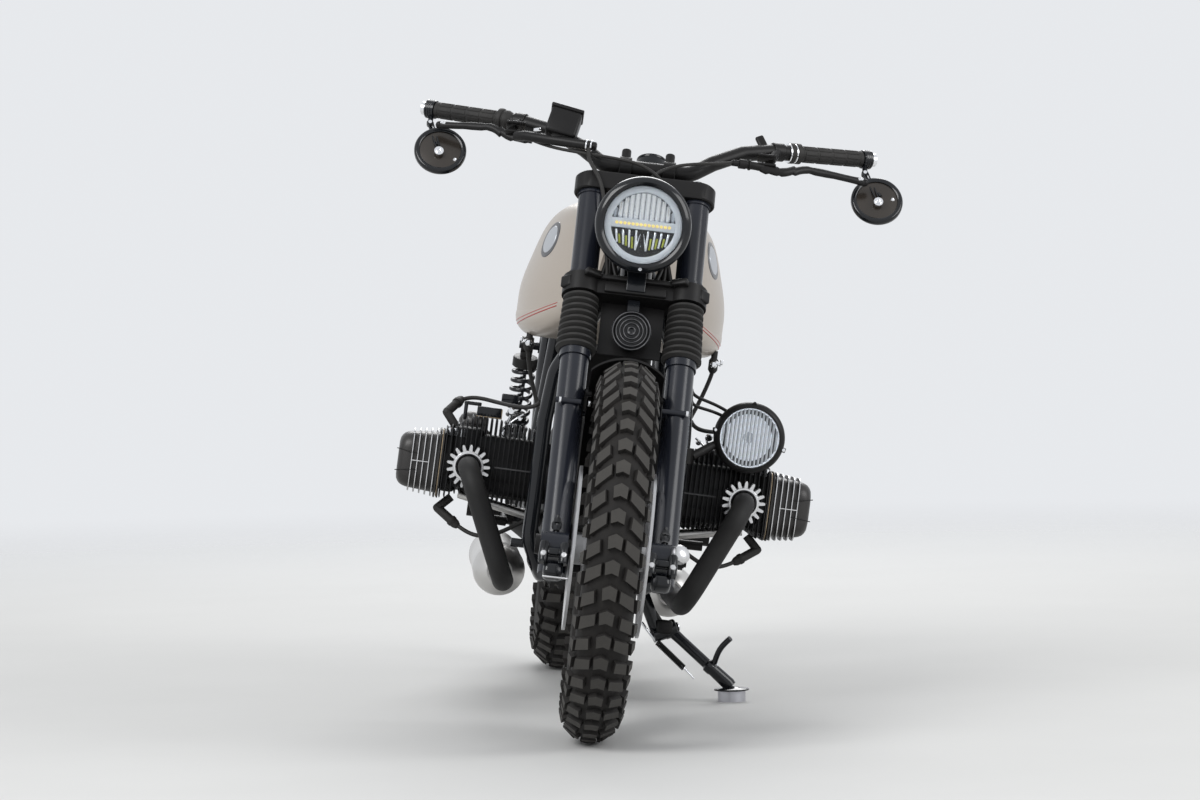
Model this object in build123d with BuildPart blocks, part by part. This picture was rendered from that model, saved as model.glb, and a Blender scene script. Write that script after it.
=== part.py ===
from build123d import *
import os
from math import cos, pi, radians, sin

os.makedirs("parts", exist_ok=True)

# A custom motorcycle with a flat twin engine, parked on its side stand.
# Millimetres. Chassis pieces are drawn upright: x to the rider's left, y rearward from the front
# tyre's contact, z up from the ground. Fork pieces are drawn in the fork's own frame: x across,
# y rearward, z up the steering axis from the level of the front axle.

# How the machine stands
wheelbase = 1465
rake = 28.5
trail = 95
lean = 8.6
steer_at_rest = -1.9
crown = 50
shift_x = -145.4
shift_y = -730.1

# Clearances: a shaft in its hole, a piece beside its neighbour, a moving piece in passing
running = 0.05
seat_gap = 0.3
passing = 5

# Wheels and tyres
front_tyre_r = 330
rear_tyre_r = 325
front_tyre_w = 110
rear_tyre_w = 120
front_rim_r = 241
rear_rim_r = 229
rim_w = 62
rim_depth = 17
flange_x = 41
hub_r = 44
disc_r = 142
disc_x = 63.5
disc_t = 5
disc_holes = 20
disc_hole_r = 4.5
axle_r = 9
axle_bore_r = 6
spoke_r = 2.4
spokes = 28

# Fork
leg_x = 94
yoke_offset = 38
tube_r = 20.5
slider_r = 25
slider_low = -40
slider_top = 398
tube_seat = 60
clamp_in = 22
clamp_out = 25
clamp_r = 24
lower_yoke_z = 528
lower_yoke_t = 36
top_yoke_z = 738
top_yoke_t = 34
gaiter_r = 36
gaiter_taper = 0.5
gaiter_ribs = 9
rib_depth = 6
cover_r = 24.5
stem_r = 14
head_r = 29
caliper_angle = 65
caliper_w = 44
fender_rear = 55
fender_front = 11
sheet = 4

# Lights, horn and instrument
headlight_r = 86
lens_r = 70
headlight_y = 226
headlight_z = 900
headlight_depth = 118
spot_r = 65
spot_lens_r = 54
spot_at = (247, 400, 546)
horn_r = 36
horn_z = 436
speedo_r = 27

# Handlebar in the fork's frame: its middle, its bends and its end on the left side
bar_r = 14.3
bar_end_r = 11
bar_y = -22
bar_z = 795
bar_bends = ((78, bar_y, bar_z), (118, -16, 828), (172, 0, 866), (232, 22, 891))
bar_end = (410, 87, 936.5)
bend_r = 42
grip_r = 15.5
grip_l = 128
post_x = 40
post_r = 8.5
mirror_r = 48
hose_r = 3.6
cable_r = 3

# Engine: both cylinders lie across the machine, the left one further forward
crank_z = 424
cylinder_y = {"right": 555, "left": 517}
case_half = 102
case_front = 428
case_back = 700
case_top = 540
case_bottom = 285
sump_half = 76
sump_bottom = 226
sump_fins = 9
sump_pitch = 16
barrel_r = 50
fin_pitch = 11
fin_t = 2.6
fin_count = 15
fin_half_y = 62
fin_half_z = 72
fin_x = 124
head_end = 300
cover_end = 381
port_x = 252
port_z = 427
port_reach = 20
inlet_z = 455
rocker_fin_x = 301
rocker_fin_pitch = 10.7
rocker_fins = 5
rocker_fin_t = 2.4
nut_r = 39.5
nut_ring_r = 27
nut_fins = 17
nut_fin_t = 2.8
nut_w = 26
pipe_r = 19.5
silencer_r = 49
silencer_x = 163
silencer_z = 229
silencer_y = (720, 810, wheelbase - 225, wheelbase - 175)

# Frame, swinging arm and what they carry
frame_tube = 14
loop_tube = 12
downtube_x = 127
downtube_y = 398
stud_y = 414
stud_z = 303
stud_r = 8
rail_x = 96
rail_z = 250
seat_tube_z = rear_tyre_r + 420
loop_y = wheelbase + 5
tunnel_gap = 9
pad_drop = 3.9
spine_r = 22
spine_points = ((0, 392, 862), (0, 620, 838), (0, 930, seat_tube_z - 3))
pivot_y = 905
pivot_z = 335
pivot_r = 16
shock_x = 150
shock_top = (wheelbase - 220, seat_tube_z - 90)
shock_low = (wheelbase - 135, rear_tyre_r + 47)
shock_pin_r = 8
drive_face = 60
drive_back = 132
drive_r = 78
rest_x = 145
rest_y = 884
rest_z = 330

# Tank: upright sections as y, half width, bottom z, top z
tank_sections = (
    (446, 62, 786, 898),
    (508, 126, 711, 943),
    (640, 187, 678, 957),
    (820, 178, 684, 935),
    (985, 112, 702, 880),
)
tank_half = 190
cap_y = 690
tunnel_half = spine_r + 12

# Side stand, drawn where it stands
stand_pivot = Vector(169, 700, 162)
stand_foot = Vector(301, 669, 45)
stand_axis = Vector(0.904, 0.133, 0.407)
puck_r = 26
puck_h = 20

# Where the upright machine and the fork's frame stand in the parked machine's frame
fork_reach = front_tyre_r * sin(radians(rake)) - trail * cos(radians(rake))
fork_foot = Vector(0, fork_reach * cos(radians(rake)), front_tyre_r - fork_reach * sin(radians(rake)))
fork_plane = Plane(origin=fork_foot, x_dir=(1, 0, 0), z_dir=(0, sin(radians(rake)), cos(radians(rake))))
upright = Pos(shift_x, shift_y, crown) * Rot(0, lean, 0) * Pos(0, 0, -crown)
steered = upright * fork_plane.location * Rot(0, 0, steer_at_rest)
axle_y = -fork_reach
at_front_axle = steered * Pos(0, axle_y, 0)
at_rear_axle = upright * Pos(0, wheelbase, rear_tyre_r)
forward = Vector(0, -cos(radians(rake)), -sin(radians(rake)))
hands = (("right", -1), ("left", 1))


def finish(piece, name, place):
    """Stand a finished piece where it is on the parked machine and write it."""
    piece.part = place * piece.part
    piece.part.label = name
    export_step(piece.part, f"parts/{name}.step")


def in_fork(y, z):
    """A point of the upright machine's middle plane, in the fork's frame."""
    local = fork_plane.to_local_coords(Vector(0, y, z))
    return Vector(0, local.Y, local.Z)


def on_stem(z):
    """A point of the steering axis in the upright machine's frame."""
    return fork_plane.from_local_coords(Vector(0, 0, z))


def rod(start, end, radius, mode=Mode.ADD):
    """A straight round bar, or bore, between two points."""
    start = Vector(*start)
    run = Vector(*end) - start
    with Locations(Plane(origin=start, z_dir=run)):
        Cylinder(radius, run.length, align=(Align.CENTER, Align.CENTER, Align.MIN), mode=mode)


def bent_tube(points, radius, bend):
    """A round tube along straight runs joined by bends."""
    with BuildLine() as run:
        FilletPolyline(*points, radius=bend)
    with BuildSketch(Plane(origin=run.line @ 0, z_dir=run.line % 0)) as section:
        Circle(radius)
    sweep(sections=section.sketch, path=run.line)


def cable(points, radius):
    """A cable or hose laid smoothly along its route."""
    with BuildLine() as run:
        Spline(*points)
    with BuildSketch(Plane(origin=run.line @ 0, z_dir=run.line % 0)) as section:
        Circle(radius)
    sweep(sections=section.sketch, path=run.line)


def dome(edge, low, high):
    """The upper line of a lens's cross-section: a circle's arc with its centre on the lens's axis."""
    rise = high - low
    radius = (edge * edge + rise * rise) / (2 * rise)
    ThreePointArc((edge, low), (edge / 2, high - radius + (radius**2 - edge**2 / 4) ** 0.5), (0, high))


def turned(profile):
    """A body turned about the x axis from a closed outline of (x, radius) points."""
    with BuildSketch(Plane.XZ) as outline:
        with BuildLine():
            Polyline(*profile, close=True)
        make_face()
    revolve(profiles=outline.sketch, axis=Axis.X)


def fender_outline(half, crown_r, drop):
    """The closed cross outline of a thin arched sheet, its crown's inside at crown_r from the axle."""
    ThreePointArc((-half, crown_r - drop), (0, crown_r), (half, crown_r - drop))
    Line((half, crown_r - drop), (half, crown_r - drop + sheet))
    ThreePointArc((half, crown_r - drop + sheet), (0, crown_r + sheet), (-half, crown_r - drop + sheet))
    Line((-half, crown_r - drop + sheet), (-half, crown_r - drop))


# Tyres: a round-crowned casing with its knobs' tips on the outer arc
for name, outer_r, width, rim_r, place in (
    ("front_tyre", front_tyre_r, front_tyre_w, front_rim_r, at_front_axle),
    ("rear_tyre", rear_tyre_r, rear_tyre_w, rear_rim_r, at_rear_axle),
):
    half = width / 2
    with BuildPart() as tyre:
        with BuildSketch(Plane.XZ):
            with BuildLine():
                ThreePointArc((-half, outer_r - half), (0, outer_r), (half, outer_r - half))
                Polyline((half, outer_r - half), (rim_w / 2, rim_r), (-rim_w / 2, rim_r), (-half, outer_r - half))
            make_face()
        revolve(axis=Axis.X)
    finish(tyre, name, place)

# Wheels: rim, laced spokes and hub; the front one carries a brake disc on each side
for name, rim_r, hub_end, place in (
    ("front_wheel", front_rim_r, disc_x + disc_t / 2, at_front_axle),
    ("rear_wheel", rear_rim_r, drive_face - passing, at_rear_axle),
):
    well = rim_r - rim_depth
    with BuildPart() as wheel:
        edge = rim_w / 2
        turned([(-edge, rim_r), (edge, rim_r), (edge, rim_r - 6), (12, well), (-12, well), (-edge, rim_r - 6)])
        bore = axle_r + running
        waist = hub_r - 16
        lip_out, lip_in = flange_x + 4, flange_x - 4
        hub = [(-hub_end, bore), (hub_end, bore), (hub_end, waist), (lip_out, waist), (lip_out, hub_r)]
        hub += [(lip_in, hub_r), (lip_in - 8, waist), (8 - lip_in, waist), (-lip_in, hub_r)]
        hub += [(-lip_out, hub_r), (-lip_out, waist), (-hub_end, waist)]
        turned(hub)
        for number in range(spokes):
            turn = 2 * pi * number / spokes
            lace = 0.16 * (1 if number % 4 < 2 else -1)
            hub_x = flange_x * (-1) ** number
            root = (hub_x, (hub_r - 5) * sin(turn), (hub_r - 5) * cos(turn))
            nipple = (0.2 * hub_x, (well + 3) * sin(turn + lace), (well + 3) * cos(turn + lace))
            rod(root, nipple, spoke_r)
        if name == "front_wheel":
            for s in (-1, 1):
                inner = s * disc_x - disc_t / 2
                turned([(inner, waist - 8), (inner + disc_t, waist - 8), (inner + disc_t, disc_r), (inner, disc_r)])
                with BuildSketch(Plane.YZ.offset(inner - 1)):
                    with PolarLocations(disc_r - 18, disc_holes):
                        Circle(disc_hole_r)
                extrude(amount=disc_t + 2, mode=Mode.SUBTRACT)
    finish(wheel, name, place)

# Front axle with spacers, a bolt head on the right and a domed nut on the left
axle_out = leg_x + clamp_out
with BuildPart() as front_axle:
    rod((-axle_out - 8, 0, 0), (axle_out + 4, 0, 0), axle_r)
    disc_out = disc_x + disc_t / 2
    for s in (-1, 1):
        rod((s * (disc_out + seat_gap), 0, 0), (s * (leg_x - clamp_in - seat_gap), 0, 0), 14)
        rod((s * (axle_out + seat_gap), 0, 0), (s * (axle_out + 9), 0, 0), 17.5)
    rod((axle_out, 0, 0), (axle_out + 15, 0, 0), 12)
finish(front_axle, "front_axle", at_front_axle)

# Fork legs: stanchion, slider with its axle clamp, rubber gaiter, and the brake caliper behind
gaiter_top = lower_yoke_z - lower_yoke_t / 2
rib = (gaiter_top - slider_top) / gaiter_ribs
for hand, s in hands:
    x = s * leg_x
    leg_axis = Axis((x, -yoke_offset, 0), (0, 0, 1))
    with BuildPart() as fork_tube:
        rod((x, -yoke_offset, slider_top - tube_seat), (x, -yoke_offset, top_yoke_z + top_yoke_t / 2 + 6), tube_r)
        # cover between the yokes, with a collar at each end
        cover_low = lower_yoke_z + lower_yoke_t / 2 + seat_gap
        cover_top = top_yoke_z - top_yoke_t / 2 - seat_gap
        rod((x, -yoke_offset, cover_low), (x, -yoke_offset, cover_top), cover_r)
        rod((x, -yoke_offset, cover_low), (x, -yoke_offset, cover_low + 9), cover_r + 3)
        rod((x, -yoke_offset, cover_top - 6), (x, -yoke_offset, cover_top), cover_r + 2)
    finish(fork_tube, f"fork_tube_{hand}", steered)

    with BuildPart() as slider:
        rod((x, -yoke_offset, slider_low), (x, -yoke_offset, slider_top), slider_r)
        rod((x, -yoke_offset, slider_top - 14), (x, -yoke_offset, slider_top), slider_r + 3)
        with BuildSketch(Plane.YZ.offset(x - (clamp_in if s > 0 else clamp_out))):
            with Locations((axle_y, 0)):
                Circle(clamp_r)
            with Locations(((axle_y - yoke_offset) / 2, -6)):
                Rectangle(fork_reach - yoke_offset, 2 * clamp_r - 12)
            with Locations((axle_y - 8, -20)):
                Rectangle(24, 22)
        extrude(amount=clamp_in + clamp_out)
        rod((x - 60, axle_y, 0), (x + 60, axle_y, 0), axle_r + running, Mode.SUBTRACT)
        rod((x, -yoke_offset, slider_top - tube_seat), (x, -yoke_offset, slider_top + 1), tube_r + running, Mode.SUBTRACT)
        # pinch bolts, spacer pin and drain plug on the front
        front_face = -yoke_offset - slider_r
        for bolt_x in (-17, 18):
            rod((x + s * bolt_x, axle_y - 30, -16), (x + s * bolt_x, axle_y - 14, -16), 4.5)
        rod((x - 26, front_face - 1, 287), (x + 19, front_face - 1, 287), 5)
        rod((x, front_face - 5, 48), (x, front_face + 6, 48), 7)
        # plate behind the leg that carries the caliper
        plate_x = disc_x + caliper_w / 2 + seat_gap
        with BuildSketch(Plane.YZ.offset(s * plate_x)):
            Polygon((-yoke_offset, 20), (30, 20), (46, 44), (30, 92), (-yoke_offset, 130), align=None)
        extrude(amount=s * 11)
    finish(slider, f"fork_slider_{hand}", steered)

    with BuildPart() as gaiter:
        inner = tube_r + running
        outline = [(x + inner, slider_top)]
        for number in range(gaiter_ribs):
            low = slider_top + number * rib
            edge = x + gaiter_r - number * gaiter_taper
            outline += [(edge - rib_depth, low), (edge, low + 0.35 * rib), (edge, low + 0.65 * rib)]
        outline += [(edge - rib_depth, gaiter_top), (x + inner, gaiter_top)]
        with BuildSketch(Plane.XZ.offset(yoke_offset)):
            with BuildLine():
                Polyline(*outline, close=True)
            make_face()
        revolve(axis=leg_axis)
    finish(gaiter, f"gaiter_{hand}", steered)

    turn = radians(caliper_angle)
    out = Vector(0, sin(turn), cos(turn))
    caliper_mid = Vector(s * disc_x, axle_y, 0) + out * 132
    with BuildPart() as caliper:
        with Locations(Plane(origin=caliper_mid, x_dir=(1, 0, 0), z_dir=out)):
            Box(caliper_w, 84, 74)
        fillet(caliper.edges().filter_by(Axis.X), 10)
        slot = disc_t / 2 + 2
        rod((s * disc_x - slot, axle_y, 0), (s * disc_x + slot, axle_y, 0), disc_r + passing, Mode.SUBTRACT)
        # hose behind the leg, up to the lower yoke
        hose_end = (s * 62, -2, gaiter_top - 1)
        cable([(s * 76, 31, 82), (s * 78, 20, 140), (s * 84, 11, 260), (s * 68, 4, 430), hose_end], hose_r)
    finish(caliper, f"caliper_{hand}", steered)

# Yokes: the lower one carries the steering stem, the top one the bar posts
for name, level_z, thick, ring in (
    ("lower_yoke", lower_yoke_z, lower_yoke_t, tube_r + 15),
    ("top_yoke", top_yoke_z, top_yoke_t, tube_r + 11),
):
    with BuildPart() as yoke:
        with BuildSketch(Plane.XY.offset(level_z - thick / 2)):
            with Locations((-leg_x, -yoke_offset), (leg_x, -yoke_offset)):
                Circle(ring)
            Polygon((-leg_x, -62), (leg_x, -62), (leg_x, -14), (30, 26), (-30, 26), (-leg_x, -14), align=None)
            Circle(34)
        extrude(amount=thick)
        if name == "lower_yoke":
            rod((0, 0, level_z), (0, 0, top_yoke_z - top_yoke_t / 2), stem_r)
            # shield plate behind the horn, between the gaiters
            with BuildSketch(Plane.XZ.offset(22)):
                with Locations((0, 459)):
                    Rectangle(112, 2 * (gaiter_top + 1 - 459))
            extrude(amount=4)
        else:
            for s in (-1, 1):
                rod((s * post_x, bar_y, level_z), (s * post_x, bar_y, bar_z + bar_r + 10), post_r + 9)
                rod((s * post_x, bar_y, level_z), (s * post_x, bar_y, bar_z + 36), post_r)
            rod((-90, bar_y, bar_z), (90, bar_y, bar_z), bar_r + running, Mode.SUBTRACT)
        for s in (-1, 1):
            tube_low = (s * leg_x, -yoke_offset, level_z - thick)
            rod(tube_low, (s * leg_x, -yoke_offset, level_z + thick), tube_r + running, Mode.SUBTRACT)
    finish(yoke, name, steered)

# Handlebar: thick through its bends, thin under the grips
left_bends = [Vector(*point) for point in bar_bends]
elbow = left_bends[-1]
bar_way = (Vector(*bar_end) - elbow).normalized()
thick_end = elbow + bar_way * 28
with BuildPart() as handlebar:
    half_bar = left_bends + [thick_end]
    bent_tube([Vector(-point.X, point.Y, point.Z) for point in reversed(half_bar)] + half_bar, bar_r, bend_r)
    for s in (-1, 1):
        root = elbow + bar_way * 12
        rod((s * root.X, root.Y, root.Z), (s * bar_end[0], bar_end[1], bar_end[2]), bar_end_r)
finish(handlebar, "handlebar", steered)

# Grips, levers with their clamps, and the mirrors that hang from the bar ends
front_of_yoke = -62 - seat_gap
for hand, s in hands:
    end = Vector(s * bar_end[0], bar_end[1], bar_end[2])
    along = (Vector(s * elbow.X, elbow.Y, elbow.Z) - end).normalized()
    inside = end + along * (grip_l + 60)
    with BuildPart() as grip:
        rod(end, end + along * grip_l, grip_r)
        rod(end + along * (grip_l - 7), end + along * grip_l, grip_r + 3)
        rod(end - along, inside, bar_end_r + running, Mode.SUBTRACT)
    finish(grip, f"grip_{hand}", steered)

    with BuildPart() as bar_mirror:
        cap_in = end - along * seat_gap
        cap_out = end - along * 16
        rod(cap_out, cap_in, grip_r + 1)
        stalk = end - along * 9
        knee = stalk + Vector(0, 0, -44)
        slope = (bar_end[2] - elbow.Z) / (bar_end[0] - elbow.X)
        drop = mirror_r + 30 + slope * (mirror_r + 44)
        glass = Vector(s * (bar_end[0] - 6 + s * 25), bar_end[1] - 26, bar_end[2] - drop)
        rod(stalk, knee, 5.5)
        rod(knee, glass, 5.5)
        with Locations(knee):
            Sphere(7)
        with Locations(Plane(origin=glass, z_dir=(0, 1, 0))):
            Cylinder(mirror_r, 12)
    finish(bar_mirror, f"mirror_{hand}", steered)

    with BuildPart() as lever:
        clamp_at = end + along * (grip_l + 16)
        rod(clamp_at - along * 12, clamp_at + along * 12, bar_end_r + 8)
        perch = clamp_at + Vector(0, -36, -8)
        tip = end + Vector(-s * 4, -50, -14)
        middle = (perch + tip) * 0.5 + Vector(0, -10, -6)
        rod(clamp_at, perch, 9)
        bent_tube([perch - (middle - perch) * 0.16, middle, tip], 5.5, 150)
        with Locations(perch):
            Cylinder(12, 20)
        if hand == "right":
            # master cylinder, its reservoir, the brake hose and the throttle cable
            banjo = Vector(-108, -60, 810)
            rod(perch, banjo, 9)
            box_at = Vector(-160, -48, 887)
            rod((box_at.X, -41, 836), box_at, 11)
            with Locations(Location((box_at.X, box_at.Y, box_at.Z), (0, 6, 0))):
                Box(60, 42, 56)
            hose = [banjo, (-113, -70, 784), (-99, -79, 756), (-84, -82, 730), (-73, -76, 700), (-66, -58, 640)]
            cable(hose + [(-55, -50, 585), (-52, -50, lower_yoke_z + lower_yoke_t / 2 + 1)], hose_r)
            throttle = [perch, (-240, -24, 842), (-195, -45, 803), (-120, -62, 792), (-39, -68, 784), (-2, -74, 772)]
            cable(throttle + [(32, -75, 745), (44, front_of_yoke - cable_r, 724)], cable_r)
        else:
            adjuster = perch + along * 34
            rod(perch, adjuster, 7)
            clutch = [adjuster, (148, -48, 814), (78, -55, 800), (47, -60, 787), (18, -65, 768)]
            cable(clutch + [(3, -66.5, 750), (-3, front_of_yoke - cable_r, 732)], cable_r)
        rod(clamp_at - along * 20, clamp_at + along * 34, bar_end_r + running, Mode.SUBTRACT)
    finish(lever, "brake_lever" if hand == "right" else "clutch_lever", steered)

# Speedometer behind the bar, on a stub from the top yoke
with BuildPart() as speedometer:
    dial_way = Vector(0, 0.35, 1).normalized()
    dial = Vector(7, bar_y + bar_r + speedo_r + 4, bar_z + 4)
    rod(dial - dial_way * 24, dial + dial_way * 20, speedo_r)
    stub = Vector(dial.X, 10, top_yoke_z + top_yoke_t / 2 + seat_gap)
    rod(stub, stub + Vector(0, 0, 6), 12)
    rod(stub + Vector(0, 0, 4), dial - dial_way * 20, 7)
finish(speedometer, "speedometer", steered)

# Headlight: a bucket that tapers rearward behind a bezel ring, on a foot on the lower yoke
face = in_fork(headlight_y, headlight_z)
lamp_cut = Plane(origin=face, x_dir=(1, 0, 0), z_dir=Vector(1, 0, 0).cross(forward))
lamp_axis = Axis(face, forward)
with BuildPart() as headlight:
    with BuildSketch(lamp_cut):
        with BuildLine():
            bowl_r = headlight_r - 5
            Line((0, -headlight_depth), (28, -headlight_depth))
            ThreePointArc((28, -headlight_depth), (bowl_r - 15, -82), (bowl_r, -26))
            Line((bowl_r, -26), (bowl_r + 2, -26))
            ThreePointArc((bowl_r + 2, -26), (headlight_r, -12), (lens_r + 6, 0))
            Polyline((lens_r + 6, 0), (lens_r, -2), (lens_r, -10), (0, -10), (0, -headlight_depth))
        make_face()
    revolve(axis=lamp_axis)
    with BuildSketch(Plane.XZ.offset(-front_of_yoke)):
        with Locations((0, lower_yoke_z + 28)):
            Rectangle(34, 80)
    extrude(amount=9)
finish(headlight, "headlight", steered)
with BuildPart() as headlight_lens:
    with BuildSketch(lamp_cut):
        with BuildLine():
            lens_edge = lens_r - running
            Polyline((0, -10), (lens_edge, -10), (lens_edge, -6))
            dome(lens_edge, -6, -2)
            Line((0, -2), (0, -10))
        make_face()
    revolve(axis=lamp_axis)
finish(headlight_lens, "headlight_lens", steered)

# Horn below the lower yoke on a flat strap
with BuildPart() as horn:
    horn_at = Vector(0, -70, horn_z)
    rod(horn_at, horn_at - forward * 26, horn_r)
    with BuildSketch(Plane.XZ.offset(yoke_offset)):
        with Locations((0, (horn_z + gaiter_top - seat_gap) / 2)):
            Rectangle(22, gaiter_top - seat_gap - horn_z)
    extrude(amount=14)
finish(horn, "horn", steered)

# Short front fender close behind the tyre's top, on lugs at both legs
fender_r = front_tyre_r + 16
with BuildPart() as front_fender:
    with BuildSketch(Plane.XZ.rotated((-fender_rear, 0, 0))):
        with BuildLine():
            fender_outline(64, fender_r, 26)
        make_face()
    revolve(axis=Axis.X, revolution_arc=fender_rear + fender_front)
    lug_y = -yoke_offset - axle_y
    for s in (-1, 1):
        rod((s * 57, lug_y, fender_r - 26), (s * (leg_x - slider_r - seat_gap), lug_y, fender_r - 26), 7)
finish(front_fender, "front_fender", at_front_axle)

# Frame: steering head, spine, downtubes that run on as lower rails, rear loop and its struts
head_low = lower_yoke_z + lower_yoke_t / 2 + 2
head_top = top_yoke_z - top_yoke_t / 2 - 2
arch_r = rear_tyre_r + 20
pin_way = stand_axis.normalized()
with BuildPart() as frame:
    rod(on_stem(head_low), on_stem(head_top), head_r)
    bent_tube(spine_points, spine_r, 200)
    for s in (-1, 1):
        tube = (
            (s * 12, 366, 836),
            (s * 119, 394, 622),
            (s * downtube_x, downtube_y, 530),
            (s * downtube_x, downtube_y, 312),
            (s * rail_x, 420, rail_z),
            (s * rail_x, pivot_y - 15, rail_z),
            (s * 118, 955, 470),
            (s * 102, 930, seat_tube_z - 4),
            (s * 8, 915, seat_tube_z + 2),
        )
        bent_tube(tube, frame_tube, (60, 60, 50, 45, 80, 60, 40))
        top_y, top_z = shock_top
        strut = ((s * 116, 950, 430), (s * 118, top_y - 125, seat_tube_z - 145), (s * 112, top_y - 20, seat_tube_z))
        bent_tube(strut, loop_tube, 160)
        rod((s * 112, top_y, seat_tube_z), (s * 116, top_y, top_z - 14), 12)
        rod((s * 112, top_y, top_z), (s * (shock_x + 16), top_y, top_z), shock_pin_r)
        rod((s * 79, pivot_y, pivot_z), (s * 92, pivot_y, pivot_z), 21)
        # battery tray arm, foot rest bracket
        rod((s * 112, 946, 540), (s * 70, 790, 540), 7)
        rod((s * 106, 915, 338), (s * 132, 884, 331), 11)
        rod((s * 125, rest_y, rest_z), (s * rest_x, rest_y, rest_z), 14)
    half_loop = [(100, 930, seat_tube_z), (116, loop_y - 75, seat_tube_z), (70, loop_y, seat_tube_z)]
    bent_tube(half_loop + [(-x, y, z) for x, y, z in reversed(half_loop)], loop_tube, (50, 40, 40, 50))
    rod((-74, 800, 540), (74, 800, 540), 7)
    pad_y, pad_z = spine_points[1][1:]
    rod((0, pad_y, pad_z), (0, pad_y, pad_z + spine_r + tunnel_gap - pad_drop), 12)
    rod((-downtube_x - 32, stud_y, stud_z), (downtube_x + 32, stud_y, stud_z), stud_r)
    rod((-rail_x, 690, rail_z), (rail_x, 690, rail_z), 9)
    rod((0, loop_y, seat_tube_z), (0, loop_y, rear_tyre_r + arch_r + sheet + seat_gap), 9)
    rod((-106, pivot_y, pivot_z), (106, pivot_y, pivot_z), pivot_r)
    # side stand lug, down and out from the left rail
    rod((rail_x, 690, rail_z), stand_pivot - pin_way * 24, 12)
    rod(stand_pivot - pin_way * 34, stand_pivot - pin_way * (10 + seat_gap), 16)
    rod(on_stem(head_low - 9), on_stem(head_top + 9), stem_r + running, Mode.SUBTRACT)
finish(frame, "frame", upright)

# Tank: lofted through upright sections, open underneath for the spine
with BuildPart() as tank:
    for y, half, low, high in tank_sections:
        rise = high - low
        with BuildSketch(Plane(origin=(0, y, 0), x_dir=(1, 0, 0), z_dir=(0, -1, 0))):
            with BuildLine():
                Line((0, low), (0.8 * half, low))
                ThreePointArc((0.8 * half, low), (0.95 * half, low + 0.04 * rise), (half, low + 0.16 * rise))
                Line((half, low + 0.16 * rise), (half, low + 0.25 * rise))
                flank = [(half, 0.25), (0.91 * half, 0.57), (0.7 * half, 0.87), (0.38 * half, 0.975), (0, 1)]
                Spline(*[(x, low + part * rise) for x, part in flank], tangents=((0, 1), (-1, 0)))
                mirror(about=Plane.YZ)
            make_face()
    loft()
    with BuildSketch(Plane.YZ.offset(-tunnel_half)):
        with BuildLine():
            roof = [(y, z + spine_r + tunnel_gap) for _, y, z in spine_points]
            Polyline((380, 600), (380, roof[0][1] + 2), roof[1], (1020, roof[2][1] - 22), (1020, 600), close=True)
        make_face()
    extrude(amount=2 * tunnel_half, mode=Mode.SUBTRACT)
    with BuildSketch(Plane.YZ.offset(-tank_half)):
        Polygon((760, 600), (760, 684), (896, 768), (1020, 772), (1020, 600), align=None)
    extrude(amount=2 * tank_half, mode=Mode.SUBTRACT)
    with Locations((0, cap_y, 1000)):
        Cylinder(34, 2 * (1000 - 948), mode=Mode.SUBTRACT)
finish(tank, "tank", upright)
with BuildPart() as fuel_cap:
    rod((0, cap_y, 948), (0, cap_y, 964), 31)
    rod((0, cap_y, 964), (0, cap_y, 968), 24)
finish(fuel_cap, "fuel_cap", upright)

# Seat: flat bench, kicked up at its tail
seat_low = seat_tube_z + loop_tube + seat_gap
seat_half = 122
seat_nose = 996
seat_tail = loop_y - 30
with BuildPart() as seat:
    with BuildSketch(Plane.YZ.offset(-seat_half)):
        with BuildLine():
            kick = (seat_tail - 40, seat_low + 66)
            front = (seat_nose + 14, seat_low + 64)
            Polyline((seat_nose, seat_low), (seat_tail, seat_low), (seat_tail + 18, seat_low + 60), kick)
            ThreePointArc(kick, ((seat_nose + seat_tail) / 2, seat_low + 44), front)
            Line(front, (seat_nose, seat_low))
        make_face()
    extrude(amount=2 * seat_half)
    fillet(seat.edges().filter_by(Axis.X).group_by(Axis.Z)[-1], 14)
finish(seat, "seat", upright)

# Rear fender on a post from the loop, tail light on the loop's end
with BuildPart() as rear_fender:
    with BuildSketch(Plane.XZ.rotated((-38, 0, 0))):
        with BuildLine():
            fender_outline(70, arch_r, 26)
        make_face()
    revolve(axis=Axis.X, revolution_arc=84)
finish(rear_fender, "rear_fender", at_rear_axle)
with BuildPart() as tail_light:
    light_y = loop_y + loop_tube + seat_gap
    rod((0, light_y, seat_tube_z), (0, light_y + 24, seat_tube_z), 30)
finish(tail_light, "tail_light", upright)

# Engine block with its front cover and finned sump, and the gearbox behind it
with BuildPart() as engine_block:
    with BuildSketch(Plane.XZ.offset(-case_front)):
        with Locations((0, (case_bottom + case_top) / 2)):
            RectangleRounded(2 * case_half, case_top - case_bottom, 44)
    extrude(amount=case_front - case_back)
    with BuildSketch(Plane.XZ.offset(-case_front - 30)):
        with Locations((0, (sump_bottom + case_bottom) / 2 + 4)):
            Rectangle(2 * sump_half, case_bottom - sump_bottom + 8)
    extrude(amount=-210)
    # raised front cover, fins under the sump
    with BuildSketch(Plane.XZ.offset(-case_front)):
        with Locations((0, crank_z + 10)):
            RectangleRounded(152, 176, 30)
    extrude(amount=12)
    for number in range(sump_fins):
        with BuildSketch(Plane.XZ.offset(-case_front - 29)):
            with Locations((sump_pitch * (number - (sump_fins - 1) / 2), sump_bottom)):
                Rectangle(sump_pitch / 2, 18)
        extrude(amount=-212, mode=Mode.SUBTRACT)
    for s in (-1, 1):
        rod((s * 58, stud_y, stud_z), (s * 88, stud_y, stud_z), 18)
    rod((-90, stud_y, stud_z), (90, stud_y, stud_z), stud_r + running, Mode.SUBTRACT)
finish(engine_block, "engine_block", upright)
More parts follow.
